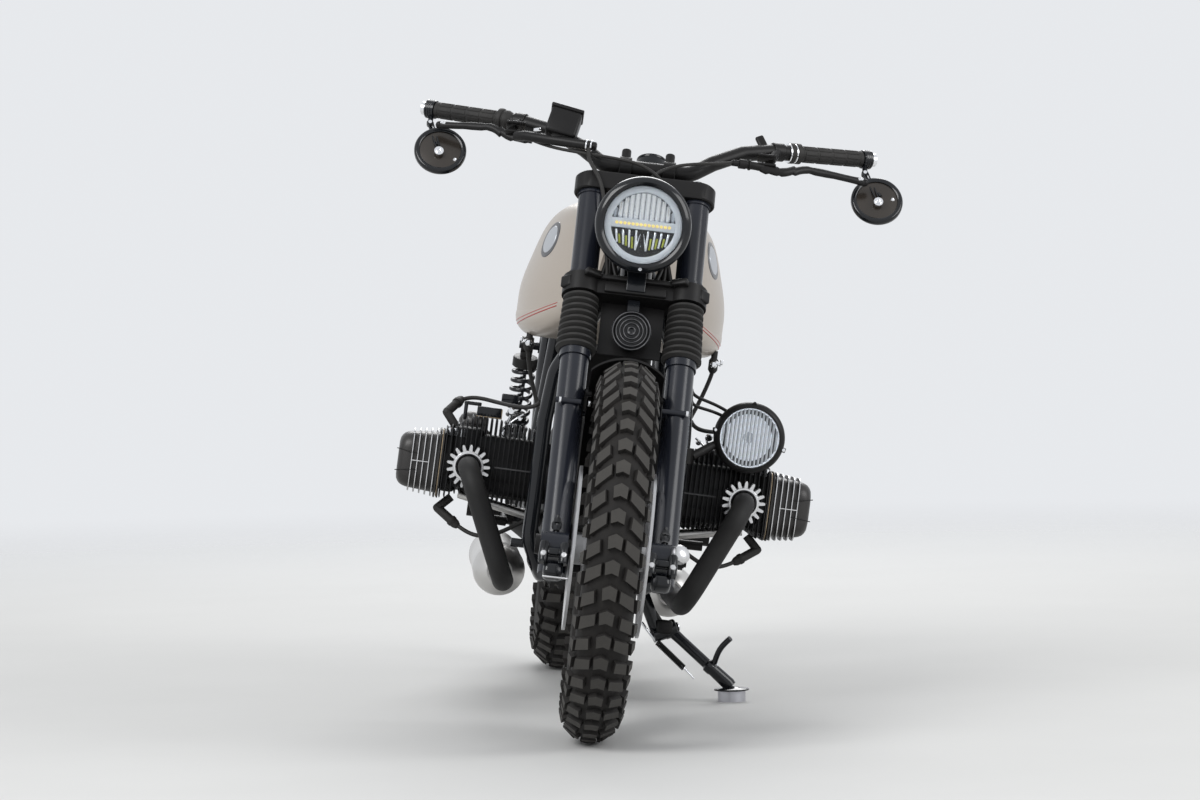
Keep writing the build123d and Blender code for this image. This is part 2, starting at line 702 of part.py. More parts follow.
with BuildPart() as gearbox:
    with BuildSketch(Plane.XZ.offset(-case_back)):
        with Locations((0, 405)):
            Circle(98)
    with BuildSketch(Plane.XZ.offset(-case_back - 160)):
        with Locations((0, 392)):
            RectangleRounded(130, 140, 36)
    loft()
finish(gearbox, "gearbox", upright)

# Cylinders with their heads, rocker covers, exhausts and carburettors. A lead's points give x, y, z
# and whether y counts from the cylinder's middle; the upper one ends at the downtube, the lower one
# on the crankcase.
upper_lead = (
    (262, 46, 553, True),
    (223, 28, 549, True),
    (178, 468, 545, False),
    (146, 431, 549, False),
    (138, downtube_y + 16, 562, False),
)
lower_lead = ((238, -26, 303, True), (212, -34, 296, True), (174, -46, 311, True), (case_half + 1, -50, 362, True))
for hand, s in hands:
    y = cylinder_y[hand]
    port_y = y - fin_half_y - port_reach
    inlet_y = y + fin_half_y + port_reach
    with BuildPart() as cylinder:
        rod((s * case_half, y, crank_z), (s * head_end, y, crank_z), barrel_r)
        for number in range(fin_count):
            with BuildSketch(Plane.YZ.offset(s * (fin_x + number * fin_pitch))):
                with Locations((y, crank_z)):
                    RectangleRounded(2 * fin_half_y, 2 * fin_half_z, 16)
            extrude(amount=s * fin_t)
        rod((s * port_x, y - 40, port_z), (s * port_x, port_y, port_z), 27)
        rod((s * port_x, y + 20, inlet_z), (s * port_x, inlet_y, inlet_z), 22)
        for tube_y in (y - 22, y + 22):
            rod((s * case_half, tube_y, 357), (s * 262, tube_y, 357), 9)
        # rib across the barrel's fins
        with Locations((s * (fin_x + 4 * fin_pitch), y - fin_half_y + 4, crank_z)):
            Box(8 * fin_pitch, 8, 3)
        # plug caps above and below the head, each with its lead
        for way, knee, boot, lead in (
            (1, (302, y + 6, 518), (281, y + 38, 541), upper_lead),
            (-1, (297, y - 2, 341), (262, y - 14, 317), lower_lead),
        ):
            rod((s * 274, y, crank_z + way * (fin_half_z - 12)), (s * knee[0], *knee[1:]), 8)
            rod((s * knee[0], *knee[1:]), (s * boot[0], *boot[1:]), 8)
            with Locations((s * knee[0], *knee[1:])):
                Sphere(8)
            route = [Vector(s * px, (y if near else 0) + py, pz) for px, py, pz, near in lead]
            cable([Vector(s * boot[0], *boot[1:])] + route, hose_r)
    finish(cylinder, f"cylinder_{hand}", upright)

    with BuildPart() as rocker_cover:
        with BuildSketch(Plane.YZ.offset(s * head_end)):
            with Locations((y, crank_z)):
                RectangleRounded(96, 118, 30)
        extrude(amount=s * (cover_end - head_end))
        fillet(rocker_cover.faces().sort_by(Axis.X)[-1 if s > 0 else 0].edges(), 26)
        # polished fins round the cover, and the bar that joins the first four in front
        for number in range(rocker_fins):
            with BuildSketch(Plane.YZ.offset(s * (rocker_fin_x + number * rocker_fin_pitch))):
                with Locations((y, crank_z)):
                    RectangleRounded(102, 124, 26)
            extrude(amount=s * rocker_fin_t)
        with Locations((s * (rocker_fin_x + 2 * rocker_fin_pitch), y - 49, crank_z)):
            Box(2 * rocker_fin_pitch + 8, 4, rocker_fin_t)
    finish(rocker_cover, f"rocker_cover_{hand}", upright)

    with BuildPart() as exhaust_nut:
        with BuildSketch(Plane.XZ.offset(-port_y)):
            with Locations((s * port_x, port_z)):
                Circle(nut_ring_r)
                with PolarLocations((nut_ring_r - 1 + nut_r) / 2, nut_fins):
                    Rectangle(nut_r - nut_ring_r + 1, nut_fin_t)
                Circle(pipe_r + running, mode=Mode.SUBTRACT)
        extrude(amount=nut_w)
    finish(exhaust_nut, f"exhaust_nut_{hand}", upright)

    with BuildPart() as exhaust_pipe:
        low_y = port_y - 60
        run = (
            (s * port_x, port_y, port_z),
            (s * port_x, port_y - 74, port_z),
            (s * silencer_x, low_y - 4, silencer_z),
            (s * silencer_x, silencer_y[0], silencer_z),
        )
        bent_tube(run, pipe_r, (46, 50))
    finish(exhaust_pipe, f"exhaust_pipe_{hand}", upright)

    with BuildPart() as silencer:
        y0, y1, y2, y3 = silencer_y
        with BuildSketch(Plane.XY):
            with BuildLine():
                Polyline((0, y0), (pipe_r + 5, y0), (silencer_r, y1), (silencer_r, y2), (34, y3), (0, y3), close=True)
            make_face()
        revolve(axis=Axis.Y)
        rod((0, y3 - 60, 0), (0, y3 + 1, 0), 26, Mode.SUBTRACT)
    finish(silencer, f"silencer_{hand}", upright * Pos(s * silencer_x, 0, silencer_z))

    with BuildPart() as carburettor:
        x = s * port_x
        rod((x, inlet_y, inlet_z), (x, inlet_y + 34, inlet_z), 24)
        rod((x, inlet_y + 34, inlet_z), (x - s * 8, inlet_y + 88, inlet_z + 3), 30)
        rod((x - s * 4, inlet_y + 60, 412), (x - s * 4, inlet_y + 60, 530), 27)
        rod((x - s * 8, inlet_y + 86, inlet_z + 3), (x - s * 16, inlet_y + 160, inlet_z + 7), 39)
    finish(carburettor, f"carburettor_{hand}", upright)

# Swinging arm: drive shaft housing on the right, plain leg on the left; final drive; axle
with BuildPart() as swingarm:
    rod((-78.7, pivot_y, pivot_z), (78.7, pivot_y, pivot_z), 24)
    leg_end = wheelbase - drive_r - 8
    low_y, low_z = shock_low
    for hand_x, leg_r, leg_stop in ((-1, 26, leg_end), (1, 18, wheelbase - 30)):
        root = (hand_x * 48, pivot_y, pivot_z)
        elbow_in = (hand_x * 52, pivot_y + 84, rear_tyre_r)
        elbow_out = (hand_x * 98, pivot_y + 172, rear_tyre_r)
        bent_tube((root, elbow_in, elbow_out, (hand_x * 98, leg_stop, rear_tyre_r)), leg_r, 60)
    for s in (-1, 1):
        rod((s * 100, low_y, rear_tyre_r + 6), (s * 116, low_y, low_z), 13)
        rod((s * 112, low_y, low_z), (s * (shock_x + 16), low_y, low_z), shock_pin_r)
    rod((82, wheelbase, rear_tyre_r), (114, wheelbase, rear_tyre_r), 27)
    rod((98, wheelbase - 40, rear_tyre_r), (98, wheelbase, rear_tyre_r), 15)
    rod((60, wheelbase, rear_tyre_r), (130, wheelbase, rear_tyre_r), axle_r + running, Mode.SUBTRACT)
    rod((-80, pivot_y, pivot_z), (80, pivot_y, pivot_z), pivot_r + running, Mode.SUBTRACT)
finish(swingarm, "swingarm", upright)
with BuildPart() as final_drive:
    turned([(-drive_face, 0), (-drive_face, drive_r), (-drive_face - 30, drive_r), (-drive_back, 52), (-drive_back, 0)])
    rod((-98, leg_end - wheelbase + seat_gap, 0), (-98, -40, 0), 30)
    rod((-drive_back - 1, 0, 0), (-drive_face + 1, 0, 0), axle_r + running, Mode.SUBTRACT)
finish(final_drive, "final_drive", at_rear_axle)
with BuildPart() as rear_axle:
    rod((-drive_back - 12, 0, 0), (126, 0, 0), axle_r)
    rod((-drive_back - 12, 0, 0), (-drive_back - seat_gap, 0, 0), 15)
    rod((114 + seat_gap, 0, 0), (126, 0, 0), 15)
    rod((drive_face - passing + seat_gap, 0, 0), (82 - seat_gap, 0, 0), 14)
    rod((-drive_back - 13, 0, 0), (127, 0, 0), axle_bore_r, Mode.SUBTRACT)
finish(rear_axle, "rear_axle", at_rear_axle)

# Rear shock absorbers with their springs
spring_coils = 11
for hand, s in hands:
    top = Vector(s * shock_x, *shock_top)
    low = Vector(s * shock_x, *shock_low)
    way = (low - top).normalized()
    span = (low - top).length
    with BuildPart() as shock:
        rod(top + way * 10, low - way * 10, 8)
        rod(top + way * 14, top + way * 40, 25)
        rod(top + way * 40, low - way * 44, 18)
        rod(low - way * 50, low - way * 40, 25)
        coil_gap = (span - 100) / spring_coils
        for number in range(spring_coils):
            at = top + way * (46 + number * coil_gap)
            rod(at, at + way * 7, 26)
        for eye in (top, low):
            rod(eye - Vector(12, 0, 0), eye + Vector(12, 0, 0), 16)
            rod(eye - Vector(14, 0, 0), eye + Vector(14, 0, 0), shock_pin_r + running, Mode.SUBTRACT)
    finish(shock, f"shock_{hand}", upright)

# Battery box on its tray
with BuildPart() as battery_box:
    with BuildSketch(Plane.XY.offset(540 + 7 + seat_gap)):
        with Locations((0, 845)):
            RectangleRounded(150, 110, 12)
    extrude(amount=118)
finish(battery_box, "battery_box", upright)

# Foot rests, with the gear lever on the left and the brake pedal on the right
for hand, s in hands:
    with BuildPart() as foot_rest:
        plate_x = s * (rest_x + seat_gap)
        rod((plate_x, rest_y, rest_z), (plate_x + s * 10, rest_y, rest_z), 20)
        rod((plate_x, rest_y, rest_z), (plate_x + s * 90, rest_y, rest_z), 13)
        lever_x = plate_x + s * 20
        reach = 716 if hand == "left" else 728
        rod((lever_x, rest_y - 5, rest_z - 1), (lever_x, reach, rest_z - 8), 6)
        rod((lever_x - s * 3, reach + 3, rest_z - 7), (lever_x + s * 46, reach + 3, rest_z - 6), 9)
    finish(foot_rest, f"foot_rest_{hand}", upright)

# Spot lamp over the left cylinder, clamped to the downtube
lamp_x, lamp_y, lamp_z = spot_at
spot_cut = Plane(origin=spot_at, x_dir=(1, 0, 0), z_dir=(0, 0, -1))
spot_axis = Axis(spot_at, (0, -1, 0))
with BuildPart() as spot_lamp:
    with BuildSketch(spot_cut):
        with BuildLine():
            Line((0, -74), (24, -74))
            ThreePointArc((24, -74), (49, -56), (spot_r - 6, -26))
            Polyline((spot_r - 6, -26), (spot_r, -24), (spot_r, -13))
            ThreePointArc((spot_r, -13), (spot_r - 3, -4), (spot_lens_r + 1, 0))
            Polyline((spot_lens_r + 1, 0), (spot_lens_r, -1), (spot_lens_r, -8), (0, -8), (0, -74))
        make_face()
    revolve(axis=spot_axis)
    rod((lamp_x - 46, lamp_y + 22, lamp_z - 14), (downtube_x + 20, downtube_y, 500), 8)
    rod((downtube_x, downtube_y, 486), (downtube_x, downtube_y, 514), frame_tube + 8)
    rod((downtube_x, downtube_y, 450), (downtube_x, downtube_y, 522), frame_tube + running, Mode.SUBTRACT)
    cable([(214, 442, 571), (190, 440, 583), (152, 422, 588), (135, 411, 592), (132.5, 408, 602)], cable_r)
    cable([(220, 444, 578), (200, 446, 592), (156, 428, 604), (134, 412, 609), (131, 407.5, 620)], cable_r)
finish(spot_lamp, "spot_lamp", upright)
with BuildPart() as spot_lens:
    with BuildSketch(spot_cut):
        with BuildLine():
            Polyline((0, -8), (spot_lens_r - running, -8), (spot_lens_r - running, -4))
            dome(spot_lens_r - running, -4, -1)
            Line((0, -1), (0, -8))
        make_face()
    revolve(axis=spot_axis)
finish(spot_lens, "spot_lens", upright)

# Side stand: pivot eye, leg, foot plate and toe lever, with the turned puck under the plate
up = Vector(-sin(radians(lean)), 0, cos(radians(lean)))
ankle = stand_foot + up * (puck_h + 14)
with BuildPart() as side_stand:
    rod(stand_pivot - pin_way * 10, stand_pivot + pin_way * 13, 17)
    rod(stand_pivot, ankle, 11)
    rod(stand_foot + up * puck_h, stand_foot + up * (puck_h + 4), puck_r + 8)
    rod(stand_foot + up * puck_h, ankle, 11)
    with Locations(ankle):
        Sphere(11)
    toe_root = stand_pivot + (ankle - stand_pivot) * 0.72
    rod(toe_root, toe_root + Vector(10, -46, 10), 6)
    rod(toe_root + Vector(10, -46, 10), toe_root + Vector(22, -56, 62), 6)
    with Locations(toe_root + Vector(10, -46, 10)):
        Sphere(6)
finish(side_stand, "side_stand", upright)
with BuildPart() as stand_puck:
    rod(stand_foot, stand_foot + up * puck_h, puck_r)
finish(stand_puck, "stand_puck", upright)
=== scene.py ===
import math

import bpy
from mathutils import Matrix, Vector


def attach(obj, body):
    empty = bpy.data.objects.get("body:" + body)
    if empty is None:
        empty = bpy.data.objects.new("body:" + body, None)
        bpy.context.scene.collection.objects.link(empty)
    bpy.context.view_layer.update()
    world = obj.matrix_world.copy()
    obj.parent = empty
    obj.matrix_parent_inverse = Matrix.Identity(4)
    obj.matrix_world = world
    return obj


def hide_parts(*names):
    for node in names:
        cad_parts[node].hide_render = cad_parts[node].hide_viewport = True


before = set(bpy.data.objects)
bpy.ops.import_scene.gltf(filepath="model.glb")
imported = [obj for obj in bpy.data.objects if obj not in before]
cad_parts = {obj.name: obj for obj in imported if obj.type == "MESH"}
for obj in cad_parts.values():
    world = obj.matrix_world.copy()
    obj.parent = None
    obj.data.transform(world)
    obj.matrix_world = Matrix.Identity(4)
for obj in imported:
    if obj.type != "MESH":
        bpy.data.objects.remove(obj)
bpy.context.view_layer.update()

# Where the parked machine stands, in metres. Pieces are modelled in millimetres, either in the
# upright machine (x to the rider's left, y rearward, z up) or in the fork (z up the steering axis).
LEAN, RAKE, STEER = math.radians(8.6), math.radians(28.5), math.radians(-1.9)
GROUND, AXLE_BACK = 50.0, -73.97
bike = (
    Matrix.Scale(0.001, 4)
    @ Matrix.Translation((-145.4, -730.1, GROUND))
    @ Matrix.Rotation(LEAN, 4, "Y")
    @ Matrix.Translation((0, 0, -GROUND))
)
fork_foot = (0, -AXLE_BACK * math.cos(RAKE), 330 + AXLE_BACK * math.sin(RAKE))
fork = bike @ Matrix.Translation(fork_foot) @ Matrix.Rotation(-RAKE, 4, "X") @ Matrix.Rotation(STEER, 4, "Z")
WHEELBASE, REAR_RADIUS = 1465, 325
front_axle = fork @ Matrix.Translation((0, AXLE_BACK, 0))
rear_axle = bike @ Matrix.Translation((0, WHEELBASE, REAR_RADIUS))

# Camera: low and far back, turned a little to the right and tipped with the photograph's horizon
YAW, DIP, ROLL, LENS = math.radians(-2.63), math.radians(1.45), math.radians(1.11), 126.0
level = Vector((-math.sin(YAW), math.cos(YAW), 0))
ahead = level * math.cos(DIP) - Vector((0, 0, math.sin(DIP)))
right = Vector((math.cos(YAW), math.sin(YAW), 0))
above = right.cross(ahead)
side = right * math.cos(ROLL) - above * math.sin(ROLL)
top = right * math.sin(ROLL) + above * math.cos(ROLL)
bpy.ops.object.camera_add()
camera = bpy.context.object
camera.name = "camera"
camera_turn = Matrix((side, top, -ahead)).transposed().to_4x4()
camera.matrix_world = Matrix.Translation((-0.4471, -7.9282, 0.7709)) @ camera_turn
camera.data.lens = LENS
camera.data.clip_end = 200
bpy.context.scene.camera = camera


class Tone:
    """A socket of a finish's nodes. Sums, products and comparisons of tones add their Math nodes."""

    def __init__(self, finish, socket):
        self.finish, self.socket = finish, socket

    def maths(self, kind, *others):
        node = self.finish.tree.nodes.new("ShaderNodeMath")
        node.operation = kind
        for slot, value in zip(node.inputs, others):
            self.finish.join(value, slot)
        return Tone(self.finish, node.outputs[0])

    def __add__(self, other):
        return self.maths("ADD", self, other)

    def __sub__(self, other):
        return self.maths("SUBTRACT", self, other)

    def __rsub__(self, other):
        return self.maths("SUBTRACT", other, self)

    def __mul__(self, other):
        return self.maths("MULTIPLY", self, other)

    def __gt__(self, other):
        return self.maths("GREATER_THAN", self, other)

    def __lt__(self, other):
        return self.maths("LESS_THAN", self, other)

    def power(self, other):
        return self.maths("POWER", self, other)

    __radd__, __rmul__ = __add__, __mul__


class Finish:
    """A surface finish: one Principled shader, and the nodes that vary it over a piece."""

    def __init__(self, name, color, roughness, metallic=0.0, **sockets):
        self.material = bpy.data.materials.new(name)
        self.material.use_nodes = True
        self.tree = self.material.node_tree
        self.shader = self.tree.nodes["Principled BSDF"]
        self.feed(Base_Color=(*color, 1), Roughness=roughness, Metallic=metallic, **sockets)
        self.place = self.node("TexCoord", out="Object")

    def join(self, value, socket):
        if isinstance(value, Tone):
            self.tree.links.new(value.socket, socket)
        else:
            socket.default_value = value

    def node(self, kind, settings=None, out=0, **sockets):
        """Adds a node. A socket goes by its name, or as i0, i1 and so on by its place."""
        node = self.tree.nodes.new("ShaderNode" + kind)
        for key, value in (settings or {}).items():
            setattr(node, key, value)
        for key, value in sockets.items():
            numbered = key[0] == "i" and key[1:].isdigit()
            self.join(value, node.inputs[int(key[1:]) if numbered else key.replace("_", " ")])
        return Tone(self, node.outputs[out])

    def feed(self, **sockets):
        for key, value in sockets.items():
            self.join(value, self.shader.inputs[key.replace("_", " ")])

    def noise(self, scale, detail=3.0, stretch=(1, 1, 1)):
        spot = self.node("Mapping", Vector=self.place, Scale=stretch)
        return self.node("TexNoise", Vector=spot, Scale=scale, Detail=detail, Roughness=0.6)

    def blend(self, share, low, high):
        """A colour between two others; a plain colour is given as three numbers."""
        low, high = ((*c, 1) if isinstance(c, tuple) else c for c in (low, high))
        return self.node("Mix", {"data_type": "RGBA"}, out=2, i0=share, i6=low, i7=high)

    def vary(self, grain=None, shades=None):
        """Noise in the finish: grain gives its lowest and highest roughness, shades two colours,
        and each goes on with its noise's scale and detail."""
        if grain:
            low, high, *noise = grain
            self.feed(Roughness=self.noise(*noise) * (high - low) + low)
        if shades:
            low, high, *noise = shades
            self.feed(Base_Color=self.blend(self.noise(*noise), low, high))

    def bump(self, height, strength, distance):
        self.feed(Normal=self.node("Bump", Height=height, Strength=strength, Distance=distance))


# Studio: a pale floor that keeps the shadow and fades into a pale room, which the camera, metal
# and glass see, and three large soft lamps
floor_paint = Finish("studio_floor", (0.62, 0.62, 0.61), 0.85)
floor_paint.vary(shades=((0.6, 0.6, 0.59), (0.65, 0.65, 0.64), 1.4))
distance = floor_paint.node("VectorMath", {"operation": "LENGTH"}, out=1, i0=floor_paint.place)
fade = {"interpolation_type": "SMOOTHSTEP"}
floor_paint.feed(Alpha=floor_paint.node("MapRange", fade, i0=distance, i1=2.2, i2=7.5, i3=1.0, i4=0.0))
bpy.ops.mesh.primitive_plane_add(size=120)
floor = bpy.context.object
floor.name = "studio_floor"
floor.data.materials.append(floor_paint.material)
world = bpy.data.worlds.new("studio")
bpy.context.scene.world = world
world.use_nodes = True
room = world.node_tree
rays = room.nodes.new("ShaderNodeLightPath")
pale = room.nodes.new("ShaderNodeMath")
pale.operation = "MAXIMUM"
glassy = room.nodes.new("ShaderNodeMath")
glassy.operation = "MAXIMUM"
room.links.new(rays.outputs["Is Camera Ray"], pale.inputs[0])
room.links.new(rays.outputs["Is Glossy Ray"], glassy.inputs[0])
room.links.new(rays.outputs["Is Transmission Ray"], glassy.inputs[1])
room.links.new(glassy.outputs[0], pale.inputs[1])
strength = room.nodes.new("ShaderNodeMapRange")
strength.inputs["To Min"].default_value = 0.5
strength.inputs["To Max"].default_value = 0.86
room.links.new(pale.outputs[0], strength.inputs["Value"])
room.nodes["Background"].inputs["Color"].default_value = (0.93, 0.95, 0.98, 1)
room.links.new(strength.outputs[0], room.nodes["Background"].inputs["Strength"])
for name, stand, target, size, watts in (
    ("key_lamp", (-3.6, -4.2, 4.6), (0, 0, 0.5), 3.2, 230),
    ("fill_lamp", (4.4, -3.0, 3.0), (0, 0, 0.5), 3.0, 120),
    ("back_lamp", (0.5, 5.0, 4.4), (0, 0, 0.6), 3.4, 190),
):
    bpy.ops.object.light_add(type="AREA", location=stand)
    lamp = bpy.context.object
    lamp.name = name
    lamp.data.size = size
    lamp.data.energy = watts
    lamp.rotation_euler = (Vector(target) - Vector(stand)).to_track_quat("-Z", "Y").to_euler()
bpy.context.scene.view_settings.view_transform = "Standard"

# Enamelled and bare metal of the pieces that the CAD already gives their full shape
enamel = Finish("satin_black_enamel", (0.009, 0.009, 0.01), 0.34, Specular_IOR_Level=0.2)
enamel.feed(Coat_Weight=0.05, Coat_Roughness=0.25)
enamel.vary((0.32, 0.52, 55, 4), ((0.007, 0.007, 0.008), (0.014, 0.013, 0.012), 4, 5))
enamel.bump(enamel.noise(420, 2), 0.12, 0.0004)
heat_paint = Finish("matt_engine_paint", (0.014, 0.014, 0.015), 0.6, Specular_IOR_Level=0.25)
heat_paint.vary((0.48, 0.73, 30), ((0.013, 0.013, 0.014), (0.03, 0.029, 0.028), 6, 5))
heat_paint.bump(heat_paint.noise(900, 3), 0.35, 0.0006)
gloss = Finish("gloss_black_enamel", (0.007, 0.008, 0.010), 0.16, Specular_IOR_Level=0.25)
gloss.feed(Coat_Weight=0.35, Coat_Roughness=0.08)
gloss.vary((0.12, 0.24, 40))
slider_paint = Finish("slider_paint", (0.012, 0.014, 0.02), 0.22, Specular_IOR_Level=0.35)
slider_paint.feed(Coat_Weight=0.15, Coat_Roughness=0.12)
slider_paint.vary((0.2, 0.25, 8), ((0.010, 0.012, 0.018), (0.015, 0.017, 0.025), 6))
alloy = Finish("bare_alloy", (0.72, 0.72, 0.73), 0.3, 1.0)
alloy.vary((0.2, 0.4, 60), ((0.62, 0.62, 0.63), (0.8, 0.8, 0.8), 9))
steel = Finish("brushed_steel", (0.6, 0.59, 0.57), 0.34, 1.0)
strokes = steel.noise(900, 2, (1, 0.02, 1))
steel.feed(Roughness=strokes * 0.25 + 0.25)
steel.vary(shades=((0.5, 0.49, 0.47), (0.68, 0.67, 0.66), 5))
steel.bump(strokes, 0.15, 0.0002)
champagne = Finish("champagne_tank_paint", (0.45, 0.4, 0.345), 0.36, 0.25)
champagne.feed(Coat_Weight=0.3, Coat_Roughness=0.25)
champagne.vary(shades=((0.43, 0.38, 0.325), (0.48, 0.425, 0.37), 3))
champagne.bump(champagne.noise(700, 1), 0.05, 0.0002)
rubber = Finish("matt_rubber", (0.014, 0.014, 0.014), 0.55, Specular_IOR_Level=0.35)
rubber.vary((0.5, 0.75, 45), ((0.012, 0.012, 0.012), (0.032, 0.03, 0.028), 12, 5))
rubber.bump(rubber.noise(1500, 2), 0.2, 0.0003)
red_lens = Finish("red_lens", (0.35, 0.004, 0.006), 0.12, Coat_Weight=0.6, Coat_Roughness=0.05)
lens_ribs = red_lens.node("TexWave", {"bands_direction": "X"}, Vector=red_lens.place, Scale=60)
red_lens.bump(lens_ribs, 0.5, 0.001)
puck_alloy = Finish("turned_alloy", (0.5, 0.5, 0.53), 0.35, 1.0)
puck_alloy.vary((0.25, 0.55, 400, 2, (0.05, 0.05, 1)))
clear = Finish("clear_glass", (0.94, 0.96, 0.97), 0.05, Transmission_Weight=1.0, IOR=1.3)
clear.vary((0.02, 0.06, 30))

# Laced wheels: bright hub, spokes and discs inside a black rim, told apart by the distance in metres
# from the axle and from the wheel's middle
RIM_REACH = 0.04
laced = {}
for name, axle, rim_inner in (("front_wheel", front_axle, 0.2195), ("rear_wheel", rear_axle, 0.2075)):
    metal = Finish(f"{name}_metal", (0.5, 0.5, 0.5), 0.28, 1.0)
    at_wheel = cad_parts[name].matrix_world.inverted() @ axle
    spindle = (at_wheel.to_3x3() @ Vector((1, 0, 0))).normalized()
    offset = metal.node("VectorMath", {"operation": "SUBTRACT"}, i0=metal.place, i1=at_wheel.translation)
    axial = metal.node("VectorMath", {"operation": "DOT_PRODUCT"}, out=1, i0=offset, i1=spindle)
    reach = metal.node("VectorMath", {"operation": "LENGTH"}, out=1, i0=offset)
    from_axle = (reach * reach - axial * axial).power(0.5)
    painted = (from_axle > rim_inner) * (axial < RIM_REACH) * (axial > -RIM_REACH)
    bare = metal.blend(metal.noise(12), (0.52, 0.52, 0.53), (0.7, 0.7, 0.71))
    metal.feed(Base_Color=metal.blend(painted, bare, (0.014, 0.014, 0.015)), Metallic=1 - painted)
    metal.vary((0.24, 0.39, 80))
    laced[name] = metal
for names, finish in (
    ("frame fuel_cap", gloss),
    ("swingarm rear_axle front_axle battery_box lower_yoke top_yoke rear_fender front_fender", enamel),
    ("foot_rest_right foot_rest_left caliper_right caliper_left handlebar side_stand", enamel),
    ("brake_lever clutch_lever mirror_right mirror_left speedometer horn headlight spot_lamp", enamel),
    ("engine_block gearbox final_drive cylinder_right cylinder_left shock_right shock_left", heat_paint),
    ("rocker_cover_right rocker_cover_left exhaust_pipe_right exhaust_pipe_left", heat_paint),
    ("fork_slider_right fork_slider_left fork_tube_right fork_tube_left", slider_paint),
    ("stand_puck", puck_alloy),
    ("exhaust_nut_right exhaust_nut_left carburettor_right carburettor_left", alloy),
    ("front_wheel", laced["front_wheel"]),
    ("rear_wheel", laced["rear_wheel"]),
    ("silencer_right silencer_left", steel),
    ("tank", champagne),
    ("gaiter_right gaiter_left grip_right grip_left front_tyre rear_tyre seat", rubber),
    ("tail_light", red_lens),
    ("headlight_lens spot_lens", clear),
):
    for name in names.split():
        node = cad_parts[name]
        node.data.materials.clear()
        node.data.materials.append(finish.material)

# Tyres: a round casing with knobs. Each row has a five-sided centre block, two slanted blocks, the
# near one changing sides from row to row, and a shoulder block at each edge. Two rows are modelled
# flat, repeated round the tyre, then rolled onto the casing's round cross-section.
tread_rubber = Finish("tread_rubber", (0.03, 0.029, 0.028), 0.7, Specular_IOR_Level=0.25)
worn = tread_rubber.node("Attribute", {"attribute_name": "worn"}, out=2)
dusty = tread_rubber.noise(16, 6) * 0.7 + tread_rubber.noise(120, 3) * 0.3
groove_color = tread_rubber.blend(dusty, (0.006, 0.006, 0.007), (0.026, 0.023, 0.02))
crown_color = tread_rubber.blend(dusty, (0.035, 0.034, 0.032), (0.075, 0.07, 0.064))
tread_rubber.feed(Base_Color=tread_rubber.blend(worn, groove_color, crown_color), Roughness=dusty * 0.2 + 0.6)
tread_rubber.bump(tread_rubber.noise(700, 4), 0.35, 0.0006)


def to(x, y, z):
    return Matrix.Translation((x, y, z))


def rolled(angle, axis):
    """A turn by an angle in degrees about x, y or z."""
    return Matrix.Rotation(math.radians(angle), 4, axis)


def start_fresh():
    """Leaves edit mode and selects nothing, because new primitives act on the selection."""
    if bpy.context.object and bpy.context.object.mode != "OBJECT":
        bpy.ops.object.mode_set(mode="OBJECT")
    bpy.ops.object.select_all(action="DESELECT")


def extrude(rings=()):
    """Opens the new piece's mesh and extrudes it through (radius, height) rings about z."""
    bpy.ops.object.mode_set(mode="EDIT")
    bpy.ops.mesh.select_all(action="SELECT")
    for (r0, z0), (r1, z1) in zip(rings, rings[1:]):
        bpy.ops.mesh.extrude_region_move(TRANSFORM_OT_translate={"value": (0, 0, z1 - z0)})
        bpy.ops.transform.resize(value=(r1 / r0, r1 / r0, 1), center_override=(0, 0, z1))


def close_up(merge=None):
    """Merges the points nearer than merge, turns all faces outwards and closes the mesh."""
    bpy.ops.mesh.select_all(action="SELECT")
    if merge:
        bpy.ops.mesh.remove_doubles(threshold=merge)
    bpy.ops.mesh.normals_make_consistent(inside=False)
    bpy.ops.object.mode_set(mode="OBJECT")


def turned(rings, sides=48, place=None):
    """A piece turned about z from (radius, height) rings, then put at place. Radius 0 closes an end,
    and a profile that comes back to its first ring is a hollow ring."""
    start_fresh()
    tip = 0.01
    rings = [(max(radius, tip), height) for radius, height in rings]
    bpy.ops.mesh.primitive_circle_add(vertices=sides, radius=rings[0][0], location=(0, 0, rings[0][1]))
    bpy.ops.object.transform_apply(location=True)
    extrude(rings)
    close_up(0.03)
    return bpy.context.object if place is None else shift(bpy.context.object, place)


def join(*pieces):
    """Joins pieces into the first one."""
    start_fresh()
    for piece in pieces:
        piece.select_set(True)
    bpy.context.view_layer.objects.active = pieces[0]
    bpy.ops.object.join()
    return pieces[0]


def shift(piece, matrix):
    """Moves a piece's mesh; one that is mirrored keeps its faces outwards."""
    piece.data.transform(matrix)
    if matrix.determinant() < 0:
        piece.data.flip_normals()
    return piece


def settle(piece, name, place, body, finish, smooth=35, hides=()):
    """Puts a finished piece, or a list joined into one, where it belongs on the machine, with its
    finish, its body, the angle under which edges are smooth and the CAD nodes that it stands for."""
    if isinstance(piece, list):
        piece = join(*piece)
    start_fresh()
    piece.name = piece.data.name = name
    shift(piece, place)
    piece.select_set(True)
    bpy.context.view_layer.objects.active = piece
    bpy.ops.object.shade_smooth_by_angle(angle=math.radians(smooth))
    piece.data.materials.clear()
    piece.data.materials.append(finish.material)
    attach(piece, body)
    if hides:
        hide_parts(*hides)
    return piece


